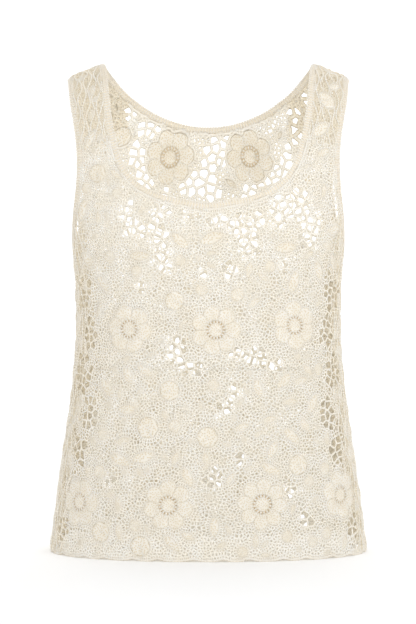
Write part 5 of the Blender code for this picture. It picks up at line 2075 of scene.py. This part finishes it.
class StageSettings(bpy.types.PropertyGroup):
    """What can be changed on the paper and the lamps."""
    paper: bpy.props.FloatVectorProperty(
        name="Paper colour", description="Colour of the floor and backdrop", default=(0.95, 0.95, 0.95),
        min=0.0, max=1.0, subtype="COLOR")
    paper_glow: bpy.props.FloatProperty(
        name="Paper glow", description="Light that the backdrop gives by itself", default=0.35,
        min=0.0, max=5.0, subtype="FACTOR")
    floor_glow: bpy.props.FloatProperty(
        name="Floor glow", description="Light that the floor gives by itself", default=0.08,
        min=0.0, max=5.0, subtype="FACTOR")
    sky: bpy.props.FloatProperty(
        name="Sky light", description="Strength of the even light all round", default=1.195,
        min=0.0, max=5.0, subtype="FACTOR")
    brightness: bpy.props.FloatProperty(
        name="Lamp strength", description="Shares the lamps' power up or down", default=1.0,
        min=0.0, max=10.0, subtype="FACTOR")


class LACETOP_OT_front(bpy.types.Operator):
    """Build the front's lace with its flowers, leaves and hem"""
    bl_idname = "lacetop.front"
    bl_label = "Front Lace"

    def execute(self, context):
        panel_pieces("front", context.scene.lace_top)
        return {"FINISHED"}


class LACETOP_OT_back(bpy.types.Operator):
    """Build the back's lace with its flowers, leaves and hem"""
    bl_idname = "lacetop.back"
    bl_label = "Back Lace"

    def execute(self, context):
        panel_pieces("back", context.scene.lace_top)
        return {"FINISHED"}


class LACETOP_OT_edging(bpy.types.Operator):
    """Build the crocheted neck band and armhole bands"""
    bl_idname = "lacetop.edging"
    bl_label = "Neck and Armhole Edging"

    def execute(self, context):
        build_edging(context.scene.lace_top_edging)
        return {"FINISHED"}


class LACETOP_OT_seams(bpy.types.Operator):
    """Sew the side and shoulder seams"""
    bl_idname = "lacetop.seams"
    bl_label = "Seams"

    def execute(self, context):
        build_seams(context.scene.lace_top)
        return {"FINISHED"}


class LACETOP_OT_stage(bpy.types.Operator):
    """Set the white paper, the lights and the camera"""
    bl_idname = "lacetop.stage"
    bl_label = "Stage"

    def execute(self, context):
        build_stage(context.scene.lace_top_stage)
        return {"FINISHED"}


class LACETOP_PT_panel(bpy.types.Panel):
    """Sizes, colours and the steps that build the top"""
    bl_idname = "LACETOP_PT_panel"
    bl_label = "Lace Top"
    bl_space_type = "VIEW_3D"
    bl_region_type = "UI"
    bl_category = "Lace Top"

    def draw(self, context):
        for holder in (context.scene.lace_top, context.scene.lace_top_edging, context.scene.lace_top_stage):
            box = self.layout.box()
            for name in type(holder).__annotations__:
                box.prop(holder, name)
        for step in STEPS:
            self.layout.operator(step.bl_idname)


STEPS = (LACETOP_OT_front, LACETOP_OT_back, LACETOP_OT_edging, LACETOP_OT_seams, LACETOP_OT_stage)
SETTINGS = (("lace_top", LaceSettings), ("lace_top_edging", EdgeSettings), ("lace_top_stage", StageSettings))


def register():
    for _, group in SETTINGS:
        bpy.utils.register_class(group)
    for kind in (*STEPS, LACETOP_PT_panel):
        bpy.utils.register_class(kind)
    for name, group in SETTINGS:
        setattr(bpy.types.Scene, name, bpy.props.PointerProperty(type=group))


def unregister():
    for name, _ in SETTINGS:
        delattr(bpy.types.Scene, name)
    for kind in (LACETOP_PT_panel, *reversed(STEPS)):
        bpy.utils.unregister_class(kind)
    for _, group in reversed(SETTINGS):
        bpy.utils.unregister_class(group)


def main():
    register()
    bpy.ops.lacetop.front()
    bpy.ops.lacetop.back()
    bpy.ops.lacetop.edging()
    bpy.ops.lacetop.seams()
    bpy.ops.lacetop.stage()


if __name__ == "__main__":
    main()
